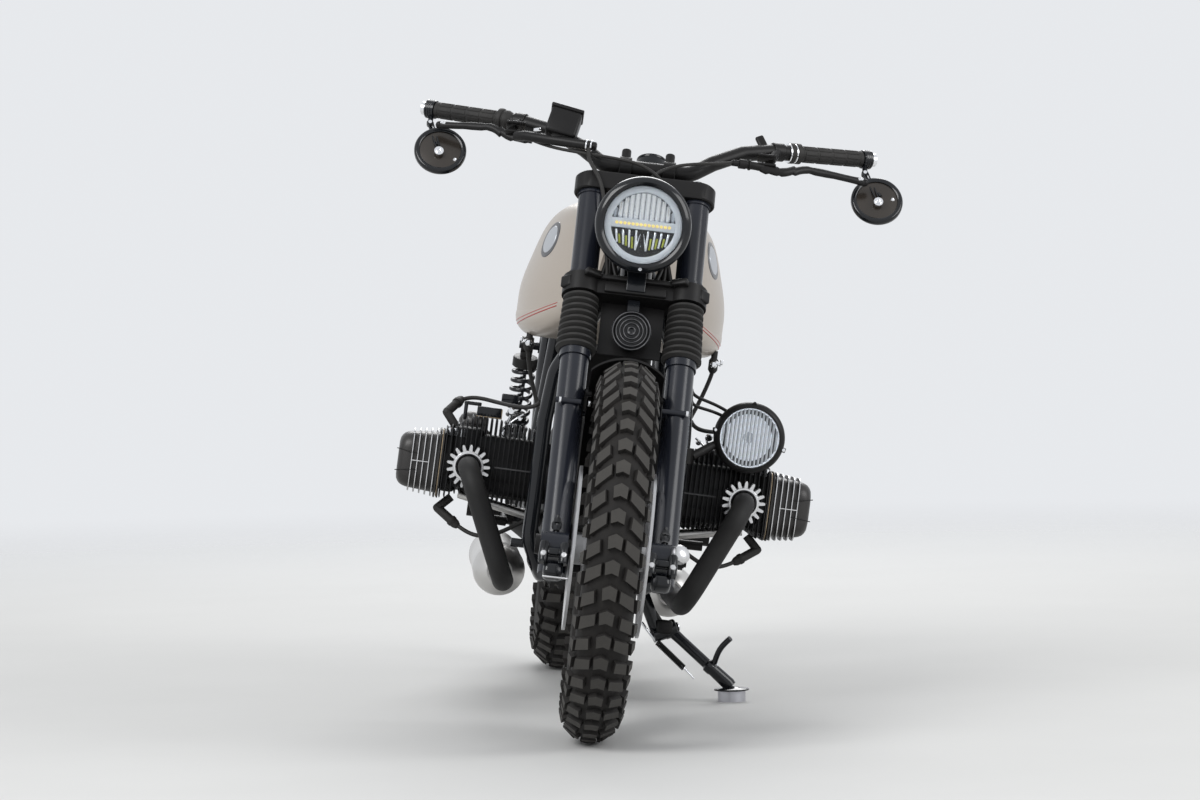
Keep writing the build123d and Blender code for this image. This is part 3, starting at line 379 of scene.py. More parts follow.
ROWS, ROW_STEP, KNOB_DEPTH = 48, 43.2, 8.5
centre_knob = ((0, 16), (14, 9), (12.5, -14), (0, -9), (-12.5, -14), (-14, 9))
near_knob = ((17.5, 8), (50, -7), (52, -36), (17, -14))
far_knob = ((25, 4), (53, -9), (54, -37), (23, -19))
shoulder_knob = ((59, -12), (80, -18), (80, -38), (60, -40))
for name, outer_r, width, rim_r, place, body in (
    ("front_tyre_tread", 330, 110, 241, front_axle, "front_wheel"),
    ("rear_tyre_tread", 325, 120, 229, rear_axle, "rear_wheel"),
):
    half = width / 2
    tread_scale = half / 55
    circle_r = outer_r - half
    casing_r = half - KNOB_DEPTH
    knobs = []
    for row in range(2):
        near = 1 if row else -1
        outlines = [centre_knob, [(near * u, v) for u, v in near_knob], [(-near * u, v) for u, v in far_knob]]
        outlines += [[(s * u, v + (0 if s == near else -5)) for u, v in shoulder_knob] for s in (-1, 1)]
        for outline in outlines:
            start_fresh()
            bpy.ops.mesh.primitive_circle_add(vertices=len(outline), radius=10, fill_type="NGON")
            knob = bpy.context.object
            turn = sum(a[0] * b[1] - a[1] * b[0] for a, b in zip(outline, [*outline[1:], outline[0]]))
            for vertex, (u, v) in zip(knob.data.vertices, outline if turn > 0 else outline[::-1]):
                vertex.co = (u, v + row * ROW_STEP, outer_r - KNOB_DEPTH - 2)
            extrude()
            bpy.ops.mesh.extrude_region_move(TRANSFORM_OT_translate={"value": (0, 0, KNOB_DEPTH + 1.2)})
            bpy.ops.transform.resize(value=(0.94, 0.94, 1))
            bpy.ops.mesh.extrude_region_move(TRANSFORM_OT_translate={"value": (0, 0, 0.8)})
            bpy.ops.transform.resize(value=(0.95, 0.95, 1))
            bpy.ops.object.mode_set(mode="OBJECT")
            knobs.append(knob)
    tread = join(*knobs)
    crown_z = outer_r - 0.3
    worn_faces = tread.data.attributes.new("worn", "FLOAT", "FACE")
    for face in tread.data.polygons:
        worn_faces.data[face.index].value = 1.0 if face.normal.z > 0.95 and face.center.z > crown_z else 0.0
    array = tread.modifiers.new("rows", "ARRAY")
    array.use_relative_offset = False
    array.use_constant_offset = True
    array.constant_offset_displace = (0, 2 * ROW_STEP, 0)
    array.count = ROWS // 2
    bpy.ops.object.modifier_apply(modifier="rows")
    for vertex in tread.data.vertices:
        u, v, z = vertex.co
        tip = u * tread_scale / half
        reach = half - (outer_r - z)
        roll = v / ROW_STEP * 2 * math.pi / ROWS
        ring = circle_r + reach * math.cos(tip)
        vertex.co = (reach * math.sin(tip), -ring * math.cos(roll), ring * math.sin(roll))
    rings = [(rim_r + 1, -30), (rim_r + 12, -34)]
    for step in range(17):
        tip = math.radians(-112 + 14 * step)
        rings.append((circle_r + casing_r * math.cos(tip), casing_r * math.sin(tip)))
    rings += [(rim_r + 12, 34), (rim_r + 1, 30), (rim_r + 1, -30)]
    carcass = turned(rings, 144, rolled(90, "Y"))
    settle([tread, carcass], name, place, body, tread_rubber, 40, [name.replace("_tread", "")])

# Headlight: a pressed steel bowl behind a rolled bezel, with a glass front. Inside are a pale
# plastic ring, bright vertical flutes above, a bar of diodes across the middle and plated fins below.
pale_plastic = Finish("pale_lamp_plastic", (0.72, 0.75, 0.8), 0.25, Coat_Weight=0.5)
pale_plastic.vary(shades=((0.6, 0.64, 0.7), (0.8, 0.83, 0.86), 25))
mirror_plate = Finish("bright_plating", (0.85, 0.86, 0.88), 0.08, 1.0)
mirror_plate.vary((0.04, 0.16, 80))
diode_yellow = Finish("diode_yellow", (0.95, 0.72, 0.2), 0.3)
diode_yellow.feed(Emission_Color=(1, 0.75, 0.25, 1), Emission_Strength=0.35)
diode_yellow.vary((0.2, 0.4, 200))
slot_yellow = Finish("yellow_slot", (0.75, 0.8, 0.05), 0.3)
slot_yellow.vary(shades=((0.6, 0.62, 0.02), (0.9, 0.95, 0.15), 90))


def block(size, at=(0, 0, 0), edge=0.6, turn=(0, 0, 0)):
    """A cuboid with rounded edges, turned by angles in degrees about x, y and z in turn."""
    start_fresh()
    bpy.ops.mesh.primitive_cube_add(size=1)
    piece = bpy.context.object
    piece.scale = size
    bpy.ops.object.transform_apply(scale=True)
    bevel = piece.modifiers.new("edge", "BEVEL")
    bevel.width = min(edge, 0.45 * min(size))
    bevel.segments = 3
    bpy.ops.object.modifier_apply(modifier="edge")
    for angle, axis in zip(turn, "XYZ"):
        shift(piece, rolled(angle, axis))
    return shift(piece, to(*at))


def tube(points, radius, order=4, sides=4):
    """A bar, wire or cable along its points; order 2 keeps the corners sharp."""
    start_fresh()
    bpy.ops.curve.primitive_nurbs_path_add()
    run = bpy.context.object
    run.data.splines.clear()
    run.data.bevel_depth = radius
    run.data.bevel_resolution = sides
    run.data.use_fill_caps = True
    spline = run.data.splines.new("POLY" if order == 2 else "NURBS")
    spline.points.add(len(points) - 1)
    for spot, point in zip(spline.points, points):
        spot.co = (*point, 1)
    if order > 2:
        spline.order_u = min(order, len(points))
        spline.use_endpoint_u = True
        spline.resolution_u = 6
    bpy.ops.object.convert(target="MESH")
    bpy.ops.object.mode_set(mode="EDIT")
    close_up(0.001)
    return bpy.context.object


def aim(point, way):
    """Where a piece modelled along z stands when its z axis points along way."""
    return to(*point) @ Vector(way).to_track_quat("Z", "Y").to_matrix().to_4x4()


FRONT = (0, -1, 0)
headlamp = fork @ to(0, -147.3, 608.8) @ Matrix.Rotation(math.radians(90) + RAKE, 4, "X")
bowl = [(0, -118), (28, -118), (46, -110), (59, -97), (67, -80), (74, -58), (79, -40), (81, -26)]
bezel = [(83, -26), (85.5, -19), (86, -12), (84.5, -6), (81, -2), (76, 0), (72, -1.5), (70, -3.5)]
shell = turned([*bowl, *bezel, (69.8, -12), (69.4, -34), (0, -38)], 96)
foot = shift(block((34, 9, 80), (0, -66.8, 556), 1.5), headlamp.inverted() @ fork)
settle([shell, foot], "headlight_shell", headlamp, "steering", gloss, 40, ["headlight"])
lens = [(0, -3), (35, -3.9), (55, -5.6), (69.3, -8), (69.3, -10), (55, -7.8), (35, -6.1), (0, -5.2)]
settle(turned(lens, 96), "headlight_glass", headlamp, "steering", clear, 40, ["headlight_lens"])
halo = turned([(57, -14), (60, -12.4), (66, -11.6), (69, -12.5), (69, -22), (57, -24), (57, -14)], 96)
settle(halo, "headlight_halo", headlamp, "steering", pale_plastic)
flutes = []
for number in range(12):
    x = -52.2 + 9.5 * number
    reach = math.sqrt(57.5**2 - x**2)
    flutes.append(tube([(x, 8, -31), (x, 0.5 * (8 + reach), -29), (x, reach, -20)], 4.9, 3))
settle(flutes, "headlight_flutes", headlamp, "steering", mirror_plate, 60)
fins = []
for x in (-45, -33, -22, -10, 10, 22, 33, 45):
    height, y = 40 - abs(x) * 0.35, -29 + abs(x) * 0.13
    fins.append(block((4.2, height, 12), (x, y, -27), 1.5, (0, 0, -x * 0.22)))
fins += [tube([(-9, -46, -24), (-3, -16, -24), (0, -40, -24), (3, -16, -24), (9, -46, -24)], 2.2, 2)]
settle(fins, "headlight_fins", headlamp, "steering", mirror_plate, 60)
slots = []
for x in (-39, -27, -16, 16, 27, 39):
    height, y = 24 - abs(x) * 0.2, -36 + abs(x) * 0.2
    slots.append(block((3.4, height, 3), (x, y, -31), 0.8, (0, 0, -x * 0.22)))
settle(slots, "headlight_slots", headlamp, "steering", slot_yellow)
bar = block((116, 17.5, 10), (0, 0, -20), 2)
settle(bar, "headlight_bar", headlamp, "steering", pale_plastic)
diode = [(0, 0), (3, 0), (2.6, 1.2), (0, 1.8)]
diodes = [turned(diode, 12, to(-47 + 7.2 * number, 0, -15.2)) for number in range(14)]
settle(diodes, "headlight_diodes", headlamp, "steering", diode_yellow)
screw = turned([(0, 0), (3.4, 0), (3.4, 2), (2.6, 3), (1.6, 3), (1.6, 1.6), (0, 1.6)], 20, to(3, -79, -3))
settle(screw, "headlight_screw", headlamp, "steering", mirror_plate)

# Spot lamp over the left cylinder: a bowl with a deep rim, a small peak, a screw in an ear at each
# side, and a glass with upright flutes before a silvered reflector with its bulb. The reflector's faint
# glow is painted light.
fluted = Finish("fluted_glass", (0.8, 0.82, 0.85), 0.12, 0.35, Specular_IOR_Level=0.8)
fluted.bump(fluted.noise(90, 4), 0.8, 0.0015)
# Painted light: the reflector glows faintly in the pale blue of the sky that it reflects
reflector_painted_glow = Finish("reflector_painted_glow", (0.82, 0.84, 0.87), 0.35, 0.2)
reflector_painted_glow.feed(Emission_Color=(0.9, 0.93, 1, 1), Emission_Strength=0.4)
reflector_painted_glow.vary((0.28, 0.43, 40))


def sleeve(bore, radius, low, high, edge=0):
    """The closed profile of a ring, its outer edges cut off by edge."""
    outer = [(radius - edge, low), (radius, low + edge), (radius, high - edge), (radius - edge, high)]
    return [(bore, low), *(outer if edge else outer[::3]), (bore, high), (bore, low)]


spot_lamp = bike @ to(247, 400, 546) @ rolled(90, "X")
rim = [(59, -26), (65, -24), (65, -13), (64, -7), (61, -3), (57, 0), (55, 0), (54.4, -1.5), (54.2, -8)]
bowl = [(0, -74), (24, -74), (38, -66), (49, -54), (56, -40), *rim, (40, -38), (18, -54), (0, -57)]
screw_spots = ((-63.5, 7, 8), (63.5, -14, -12))
shell = [turned(bowl, 96), block((9, 5, 16), (0, 62.5, -10), 2, (0, 0, 45))]
shell += [block((9, 9, 12), (x, y, -12), 2, (0, 0, angle)) for x, y, angle in screw_spots]
from_bike = spot_lamp.inverted() @ bike
shell.append(shift(tube([(201, 422, 532), (180, 412, 522), (147, 398, 500)], 8, 2), from_bike))
shell.append(turned(sleeve(14.1, 22, -14, 14), 40, from_bike @ to(127, 398, 500)))
for lead in (
    [(214, 442, 571), (190, 440, 583), (152, 422, 588), (135, 411, 592), (132.5, 408, 602)],
    [(220, 444, 578), (200, 446, 592), (156, 428, 604), (134, 412, 609), (131, 407.5, 620)],
):
    shell.append(shift(tube(lead, 3), from_bike))
settle(shell, "spot_lamp_shell", spot_lamp, "chassis", enamel, 40, ["spot_lamp"])
dish = [(53.9, -8.4), (46, -30), (36, -40), (18, -53), (5, -55), (5, -54), (18, -51.8), (36, -38.8)]
dish = turned([*dish, (46, -28.8), (53.4, -8.4), (53.9, -8.4)], 72)
settle(dish, "spot_lamp_reflector", spot_lamp, "chassis", reflector_painted_glow)
bulb = turned([(0, -54), (6, -54), (6, -40), (9, -38), (10, -30), (7, -23), (0, -20)], 32)
settle(bulb, "spot_lamp_bulb", spot_lamp, "chassis", pale_plastic)
lens = [(0, -1), (28, -1.8), (46, -3.4), (53.8, -4.6), (53.8, -7.5), (46, -5.8), (28, -4.2), (0, -3.4)]
settle(turned(lens, 96), "spot_lamp_glass", spot_lamp, "chassis", clear, 40, ["spot_lens"])
prisms = []
for number in range(15):
    x = -49 + 7 * number
    reach = math.sqrt(52.4**2 - x**2)
    prisms.append(tube([(x, -reach, -11), (x, reach, -11)], 2.3, 2, 2))
settle(prisms, "spot_lamp_flutes", spot_lamp, "chassis", fluted, 60)
screw = [(0, 0), (3.6, 0), (3.6, 2), (2.4, 3.4), (0, 3.6)]
screws = [turned(screw, 20, to(x, y, -6)) for x, y, _ in screw_spots]
settle(screws, "spot_lamp_screws", spot_lamp, "chassis", mirror_plate)

# Rocker covers: cast alloy in black, domed at the end, with five thin fins whose edges are machined
# bright, a bright bar across the first four, a bronze-coloured gasket and two thin spring wires
cast_black = Finish("cast_black_cover", (0.03, 0.028, 0.027), 0.42, 0.35, Coat_Weight=0.2, Coat_Roughness=0.3)
cast_black.vary(shades=((0.018, 0.017, 0.017), (0.036, 0.033, 0.031), 7, 4))
cast_black.bump(cast_black.noise(520, 3), 0.3, 0.0005)
# The same bronze also paints the reflection along the coil box's edges
bronze = Finish("bronze_gasket_and_edge_reflection", (0.42, 0.33, 0.22), 0.4, 0.8)
bronze.vary((0.3, 0.6, 60))
SIDES = (("right", -1), ("left", 1))
CYLINDERS = (("right", -1, 555), ("left", 1, 517))
BORE_Z = 424


def rounded(width, height, corner, steps=6):
    """The outline of a rectangle with round corners."""
    outline = []
    for quarter, (cx, cy) in enumerate(((1, 1), (-1, 1), (-1, -1), (1, -1))):
        for step in range(steps + 1):
            angle = math.radians(90 * (quarter + step / steps))
            x = cx * (width / 2 - corner) + corner * math.cos(angle)
            outline.append((x, cy * (height / 2 - corner) + corner * math.sin(angle)))
    return outline


def plate(outline, levels, place=None):
    """A plate or cover over its outline: each level is a height and how far the outline has shrunk."""
    start_fresh()
    bpy.ops.mesh.primitive_circle_add(vertices=len(outline), radius=10, fill_type="NGON")
    piece = bpy.context.object
    for vertex, (x, y) in zip(piece.data.vertices, outline):
        vertex.co = (x, y, levels[0][0])
    extrude([(share, height) for height, share in levels])
    close_up()
    return piece if place is None else shift(piece, place)


COVER_CORNER = 28
dome = [(0, 1.07), (12, 1.07), (55, 1), (62, 0.985), (68, 0.95), (73, 0.9), (77, 0.82)]
dome += [(79.8, 0.72), (81, 0.58)]
for hand, s, y in CYLINDERS:
    out = bike @ to(s * 300, y, BORE_Z) @ rolled(s * 90, "Y")
    case, edges = [plate(rounded(111, 93, 32, 8), dome)], []
    for number in range(5):
        low = 13 + 10.6 * number
        height, depth = 126 - 2.6 * number, 103 - 1.6 * number
        case.append(plate(rounded(height - 1, depth - 1, COVER_CORNER, 8), [(low - 0.5, 1), (low + 1.9, 1)]))
        edges.append(plate(rounded(height, depth, COVER_CORNER, 8), [(low, 1), (low + 1.4, 1)]))
    for low in (0, 6):
        levels = [(low, 0.99), (low + 0.6, 1), (low + 2.4, 1), (low + 3, 0.99)]
        case.append(plate(rounded(127, 104, COVER_CORNER, 8), levels))
    cover = f"rocker_cover_{hand}"
    settle(case, f"rocker_case_{hand}", out, "chassis", cast_black, 40, [cover])
    edges.append(block((1.6, 3.4, 33), (0, -48.8, 39.5), 0.3))
    settle(edges, f"rocker_edges_{hand}", out, "chassis", alloy, 30)
    gasket = plate(rounded(124, 102, COVER_CORNER, 8), [(3.2, 1), (4.4, 1)])
    settle(gasket, f"rocker_gasket_{hand}", out, "chassis", bronze, 30)
    wires = []
    for x in (-17, 14):
        wires.append(tube([(x, -49, 46), (x, -50, 58), (x * 1.2, -40, 72), (x * 1.3, -30, 84)], 0.9))
    settle(wires, f"rocker_wires_{hand}", out, "chassis", enamel)

# Bar ends: a moulded rubber grip with rows of long shallow pads, and at its outer end a turned clamp
# with a bright cap. A ball joint under the clamp carries two thin arms down to the bolt on the back of
# a round mirror, which is a pressed black disc with a rolled rim.
mirror_glass = Finish("mirror_glass", (0.8, 0.83, 0.86), 0.03, 1.0)
mirror_glass.vary((0.01, 0.04, 12))
mirror_back = Finish("mirror_back", (0.02, 0.018, 0.016), 0.3, 0.3, Coat_Weight=0.4, Coat_Roughness=0.15)
mirror_back.vary(shades=((0.012, 0.011, 0.01), (0.05, 0.038, 0.028), 8, 4))
BAR_BORE = 11.05


def grip_line(s):
    """The outer end of a grip, and the way in along the bar."""
    end = Vector((s * 410, 87, 936.5))
    return end, (Vector((s * 232, 22, 891)) - end).normalized()


grip = [(BAR_BORE, 15), (14, 15), (15, 16), (15, 22), (14.3, 23), (14.3, 140), (15, 141), (15, 144)]
throttle_collar = [(20.4, 145), (21, 147), (21, 151), (20, 153), (17.4, 154), (17.4, 156), (18.6, 157)]
throttle_collar += [(18.6, 163), (17.6, 165), (14.6, 172), (13, 174), (BAR_BORE, 174), (BAR_BORE, 15)]
plain_collar = [(19, 145), (19, 153), (17, 154), (BAR_BORE, 154), (BAR_BORE, 15)]
cap_rings = [(0, -14), (8, -14), (11.4, -13.4), (12.6, -12), (12.6, -5), (11, -4), (0, -4)]
ball_rings = [(0, -7), (5, -6.4), (6.4, -4), (6.4, 4), (5, 6.4), (0, 7)]
rolled_rim = [(38.6, 5), (41, 6.4), (44, 6.6), (46.6, 5), (48, 2), (48, -4), (47, -6), (45.4, -6), (45, -4.6)]
washer = [(0, -9.4), (5, -9.4), (5, 0), (8.6, 0), (8.6, 1.6), (5.4, 1.8), (5.4, 5), (2.6, 5)]
washer += [(2.6, 2.6), (0, 2.6)]
pin_head = [(0, 0), (3.6, 0), (3.6, 1.4), (2.6, 2.4), (1.3, 2.4), (1.3, 1.2), (0, 1.2)]
for hand, s in SIDES:
    end, along = grip_line(s)
    grip_end = fork @ aim(end, along)
    parts = [turned(grip + (throttle_collar if s < 0 else plain_collar), 48)]
    for angle in range(0, 360, 36):
        for number in range(4):
            pad = block((6.4, 1.5, 25), (0, -14.4, 38 + 29 * number), 0.6)
            parts.append(shift(pad, rolled(angle, "Z")))
    settle(parts, f"grip_rubber_{hand}", grip_end, "steering", rubber, 30, [f"grip_{hand}"])
    settle(turned(cap_rings, 48), f"bar_end_{hand}", grip_end, "steering", mirror_plate)
    if s > 0:
        rings = [turned(sleeve(BAR_BORE, 18, low, low + 2.2), 48) for low in (154.6, 167)]
        settle(rings, "grip_rings", grip_end, "steering", mirror_plate)
        spacer = turned(sleeve(BAR_BORE, 19, 157, 166.5, 1), 48)
        settle(spacer, "grip_spacer", grip_end, "steering", rubber)
    glass_at = Vector((25 + s * 404, 61, 834.9848))
    ribs = [(0, -3.8), (16, -3.8), (17.5, -2.5)]
    for low in (0, 4, 8):
        ribs += [(17.5, 0.5 + low), (16.6, 1.3 + low), (16.6, 2.5 + low), (17.5, 3.3 + low)]
    collar = turned([*ribs, (17, 14.4), (11.1, 14.4), (11.1, -2), (0, -2)], 48, aim(end, along))
    clamp_at = end + along * 6
    joint_at = clamp_at + Vector((0, -8, -36))
    bolt_at = glass_at + Vector((s * 2, -12, -8))
    stalk = tube([clamp_at + Vector((0, 0, -14)), joint_at], 5, 2)
    joint = turned(ball_rings, 28, aim(joint_at, (0, 1, 0)))
    arms = [tube([joint_at + Vector((0, 6, 0)), glass_at + Vector((s * 6, -3, 8))], 4, 2)]
    for gap in (-5, 5):
        start = joint_at + Vector((gap, -6, 0))
        arms.append(tube([start, bolt_at + Vector((gap * 0.6, -1, 0))], 1.5, 2))
    disc = turned([(0, 2), (38, 2), *rolled_rim, (0, -4.6)], 96, aim(glass_at, FRONT))
    holder = [disc, collar, stalk, joint, *arms]
    settle(holder, f"mirror_body_{hand}", fork, "steering", gloss, 40, [f"mirror_{hand}"])
    inside = turned([(0, 3), (37, 3), (38.4, 2.6), (38.4, 1), (0, 1)], 96, aim(glass_at, FRONT))
    settle(inside, f"mirror_plate_{hand}", fork, "steering", mirror_back, 40)
    face = turned([(0, -4.7), (44.9, -4.7), (44.9, -5.4), (0, -5.4)], 96, aim(glass_at, FRONT))
    settle(face, f"mirror_face_{hand}", fork, "steering", mirror_glass)
    pin_at = glass_at + Vector((29, -3, 11.4 * s - 6))
    bolts = [turned(washer, 32, aim(bolt_at, FRONT)), turned(pin_head, 24, aim(pin_at, FRONT))]
    bolts.append(turned([(0, 6.8), (3.4, 6.8), (3.4, 8.2), (0, 8.6)], 20, aim(joint_at, FRONT)))
    settle(bolts, f"mirror_bolts_{hand}", fork, "steering", mirror_plate)

# Levers: forged black blades, thick at the pivot and bent back to a ball tip. On the right the perch
# carries the brake cylinder with its square reservoir, the hose from a banjo bolt and the throttle
# cable; on the left the clutch cable leaves through a knurled adjuster.
brake_run = [(-214, -14, 838), (-236, -6, 842), (-262, 2, 847), (-284, 8, 866), (-318, 20, 871)]
brake_run += [(-386, 37, 875)]
clutch_run = [(206, -16, 834), (228, -15, 828), (256, -12, 829), (282, -4, 846), (318, 10, 852)]
clutch_run += [(402, 35, 856)]
tip_ball = [(0, -7), (4, -6), (6.4, -3), (7, 0), (6.4, 3), (4, 6), (0, 7)]
for name, s, from_end, perch, run in (
    ("brake", -1, 188, (-252, 2, 862), brake_run),
    ("clutch", 1, 190, (222, -4, 850), clutch_run),
):
    perch, run = Vector(perch), [Vector(point) for point in run]
    end, along = grip_line(s)
    clamp_at = end + along * from_end
    clamp = turned(sleeve(11.3, 17, -11, 11, 1), 48, aim(clamp_at, along))
    neck = tube([clamp_at + Vector((0, -8, -6)), (clamp_at + perch) * 0.5 + Vector((0, -6, 0)), perch], 9, 3)
    ears = [block((34, 26, 4.5), perch + Vector((-s * 6, -8, height)), 1.6) for height in (-14, 5)]
    # the bar becomes a blade: tall at its pivot, and less so towards its tip
    blade = tube(run, 6, 3, 5)
    for vertex in blade.data.vertices:
        reach = min(max((s * vertex.co.x - 206) / 70, 0), 1)
        nearest = min(run, key=lambda point: abs(point.x - vertex.co.x))
        share = 1 if abs(nearest.x - vertex.co.x) < 12 else 0.4
        vertex.co.z += (0.75 - 0.45 * reach) * (vertex.co.z - nearest.z) * share
    tip = run[-1]
    lever = [clamp, neck, blade, turned(tip_ball, 24, to(*tip)), *ears]
    if s < 0:
        banjo, box_at = Vector((-108, -60, 810)), Vector((-160, -42, 858))
        lever.append(tube([perch + Vector((10, -22, -26)), (-226, -38, 828), banjo], 9.4, 2))
        lever.append(block((40, 24, 12), box_at + Vector((0, -2, -34)), 3, (0, 9, 0)))
        lever.append(block((57, 42, 52), box_at + Vector((0, 0, -3)), 5, (0, 11, 0)))
        lever.append(block((61, 45, 7), box_at + Vector((5, 0, 25)), 2.4, (0, 11, 0)))
        hose = [banjo, (-113, -70, 784), (-99, -79, 756), (-84, -82, 730), (-73, -76, 700), (-66, -58, 640)]
        hose += [(-55, -50, 585), (-52, -50, 547)]
        throttle = [perch + Vector((20, -8, -14)), (-195, -35, 812), (-120, -62, 792), (-39, -68, 784)]
        throttle += [(-2, -74, 772), (32, -75, 745), (44, -65.3, 724)]
        lines = [tube(hose, 3.6), tube(throttle, 3)]
        bolt_way, cap_way = Vector((118, -20, -18)), (-0.2, -0.4, 1)
        bright = [turned(sleeve(5, 10.4, low, low + 2.4), 32, aim(banjo, bolt_way)) for low in (-7, 2)]
        lever.append(turned([(0, 4.6), (9, 4.6), (9, 10), (6, 12), (0, 12)], 6, aim(banjo, bolt_way)))
        cap = [(0, 0), (7.4, 0), (7.4, 3), (6.4, 4), (1, 4), (1, 3), (0, 3)]
        bright.append(turned(cap, 32, aim((-206, -38, 842), cap_way)))
    else:
        adjuster = Vector((172, -24, 830))
        lever.append(tube([perch + Vector((-8, -10, -16)), adjuster], 7.4, 2))
        barrel = [(0, -22), (4, -22), (5, -19), (6, -19), (6, -8), (9, -7)]
        barrel += [(9, 6), (7, 7), (7, 10), (10, 11), (10, 14), (7, 15), (7, 20), (0, 20)]
        lever.append(turned(barrel, 16, aim(adjuster, (1, 0.2, 0.1))))
        lever.append(block((16, 10, 30), (206, 14, 902), 4, (0, -28, 0)))
        cable = [(152, -28, 828), (148, -48, 814), (78, -55, 800), (47, -60, 787), (18, -65, 768)]
        lines = [tube([*cable, (3, -66.5, 750), (-3, -65.3, 732)], 3)]
        bright = []
    pivot = [(0, 7), (6.6, 7), (6.6, 9.4), (5, 10.6), (2.6, 10.6), (2.6, 9), (0, 9)]
    bright.append(turned(pivot, 24, to(*(perch + Vector((-s * 2, -10, 0))))))
    cut = run[-1].lerp(run[-2], 0.14)
    bright.append(block((17, 4, 5), cut + Vector((0, -4.4, 1)), 1, (0, 0, s * -15)))
    settle(lever, f"{name}_lever_body", fork, "steering", enamel, 40, [f"{name}_lever"])
    settle(lines, f"{name}_lines", fork, "steering", rubber, 50)
    settle(bright, f"{name}_bright_parts", fork, "steering", mirror_plate)

# Top yoke: a cast plate with bevelled edges over the fork tubes, split clamps for the bar on two slim
# posts with round caps, and the large nut of the steering stem
LEG_X = 94
outline = []
for s, first in ((-1, 100), (1, 270)):
    for step in range(18):
        angle = math.radians(first + 10 * step)
        outline.append((s * LEG_X + 31.5 * math.cos(angle), -38 + 31.5 * math.sin(angle)))
outline += [(60, 8), (30, 26), (-30, 26), (-60, 8)]
casting = [plate(outline, [(721, 0.985), (723, 1), (752, 1), (755, 0.98)])]
post = [(0, -42), (13, -42), (13, -38), (8.6, -36), (8.6, 34), (8, 36), (0, 36)]
for s in (-1, 1):
    casting.append(turned(post, 32, to(s * 40, -22, 795)))
    casting.append(turned(sleeve(14.4, 20, -11, 11, 1), 48, aim((s * 40, -22, 795), (1, 0, 0))))
casting.append(turned([(0, 755), (17, 755), (17, 764), (14, 767), (8, 767), (8, 764), (0, 764)], 6))
settle(casting, "top_yoke_casting", fork, "steering", enamel, 35, ["top_yoke"])

# Horn: a pressed disc with five raised rings, on a strap under the lower yoke; thin lighter rings over them
# are a painted highlight
horn_at = aim((0, -70, 436), (0, -math.cos(RAKE), -math.sin(RAKE)))
rings = [(0, -26), (30, -26), (35, -22), (35.6, -6), (35, -2), (34, -0.6), (32.6, -0.6), (31.4, -5)]
for ridge in (27, 20.4, 13.8):
    rings += [(ridge + 2.2, -5.6), (ridge + 1.2, -1), (ridge - 0.6, -0.8), (ridge - 2, -5.6)]
rings += [(8.4, -5.4), (7.6, -1.4), (5.6, -0.6), (3.4, -2.2), (0, -2.2)]
sounder = [turned(rings, 96, horn_at), block((22, 12, 62), (0, -45, 478), 1.5)]
settle(sounder, "horn_body", fork, "steering", gloss, 30, ["horn"])
# Painted highlight: thin lighter rings laid over the ridges, where they would catch the light
ridge_painted_highlight = Finish("horn_ridge_highlights", (0.11, 0.11, 0.115), 0.38, 0.4)
ridge_painted_highlight.vary((0.28, 0.48, 80))
ridges = []
for r in (33.2, 27.2, 20.6, 14, 6.4):
    profile = [(r - 1.1, -3), (r - 0.8, 0.1), (r, 0.7), (r + 0.8, 0.1), (r + 1.1, -3), (r - 1.1, -3)]
    ridges.append(turned(profile, 72, horn_at))
settle(ridges, "horn_ridge_highlights", fork, "steering", ridge_painted_highlight)

# Lower yoke trim: the split clamps' ears, a flat bridge across the front, a bar below it and three
# thin struts at each side behind the headlight
trim = [block((128, 10, 9), (0, -66, 540), 2), block((110, 8, 16), (0, -64, 520), 2)]
for s in (-1, 1):
    trim.append(block((30, 16, 12), (s * 78, -74, 541), 3, (0, 0, s * -24)))
    trim.append(block((22, 12, 22), (s * 122, -56, 528), 3, (0, 0, s * 40)))
    for low_x, high_x in ((34, 64), (48, 52), (62, 40)):
        trim.append(tube([(s * low_x, -46, 548), (s * high_x, -50, 640)], 5.5, 2))
settle(trim, "lower_yoke_trim", fork, "steering", enamel)

# Small fasteners of the fork: two bolt heads beside each slider's top and a cap on each fork tube
bolts = []
for s in (-1, 1):
    for x, outward in ((62, -s), (110, s)):
        bolt_at = aim((s * x, -64, 287), (outward, 0, 0))
        bolts.append(turned([(0, 0), (6, 0), (6, 3), (4.4, 4.4), (0, 4.4)], 24, bolt_at))
    tube_cap = [(0, 0), (13, 0), (13, 5), (11, 7), (6.5, 7), (6.5, 4), (0, 4)]
    bolts.append(turned(tube_cap, 24, to(s * LEG_X, -38, 761)))
settle(bolts, "fork_bolts", fork, "steering", mirror_plate)

# Cylinders: cast barrels and heads in matt black with thin upright fins, whose tops rise towards the
# head. A rib ties the barrel's fins in front, steel pushrod tubes run below, and each head has two
# plugs with angled caps, a port stub in front and an inlet stub behind.
fin_paint = Finish("fin_paint", (0.012, 0.012, 0.013), 0.5, Specular_IOR_Level=0.35)
fin_paint.vary((0.36, 0.61, 35))
fin_paint.bump(fin_paint.noise(800, 3), 0.3, 0.0005)
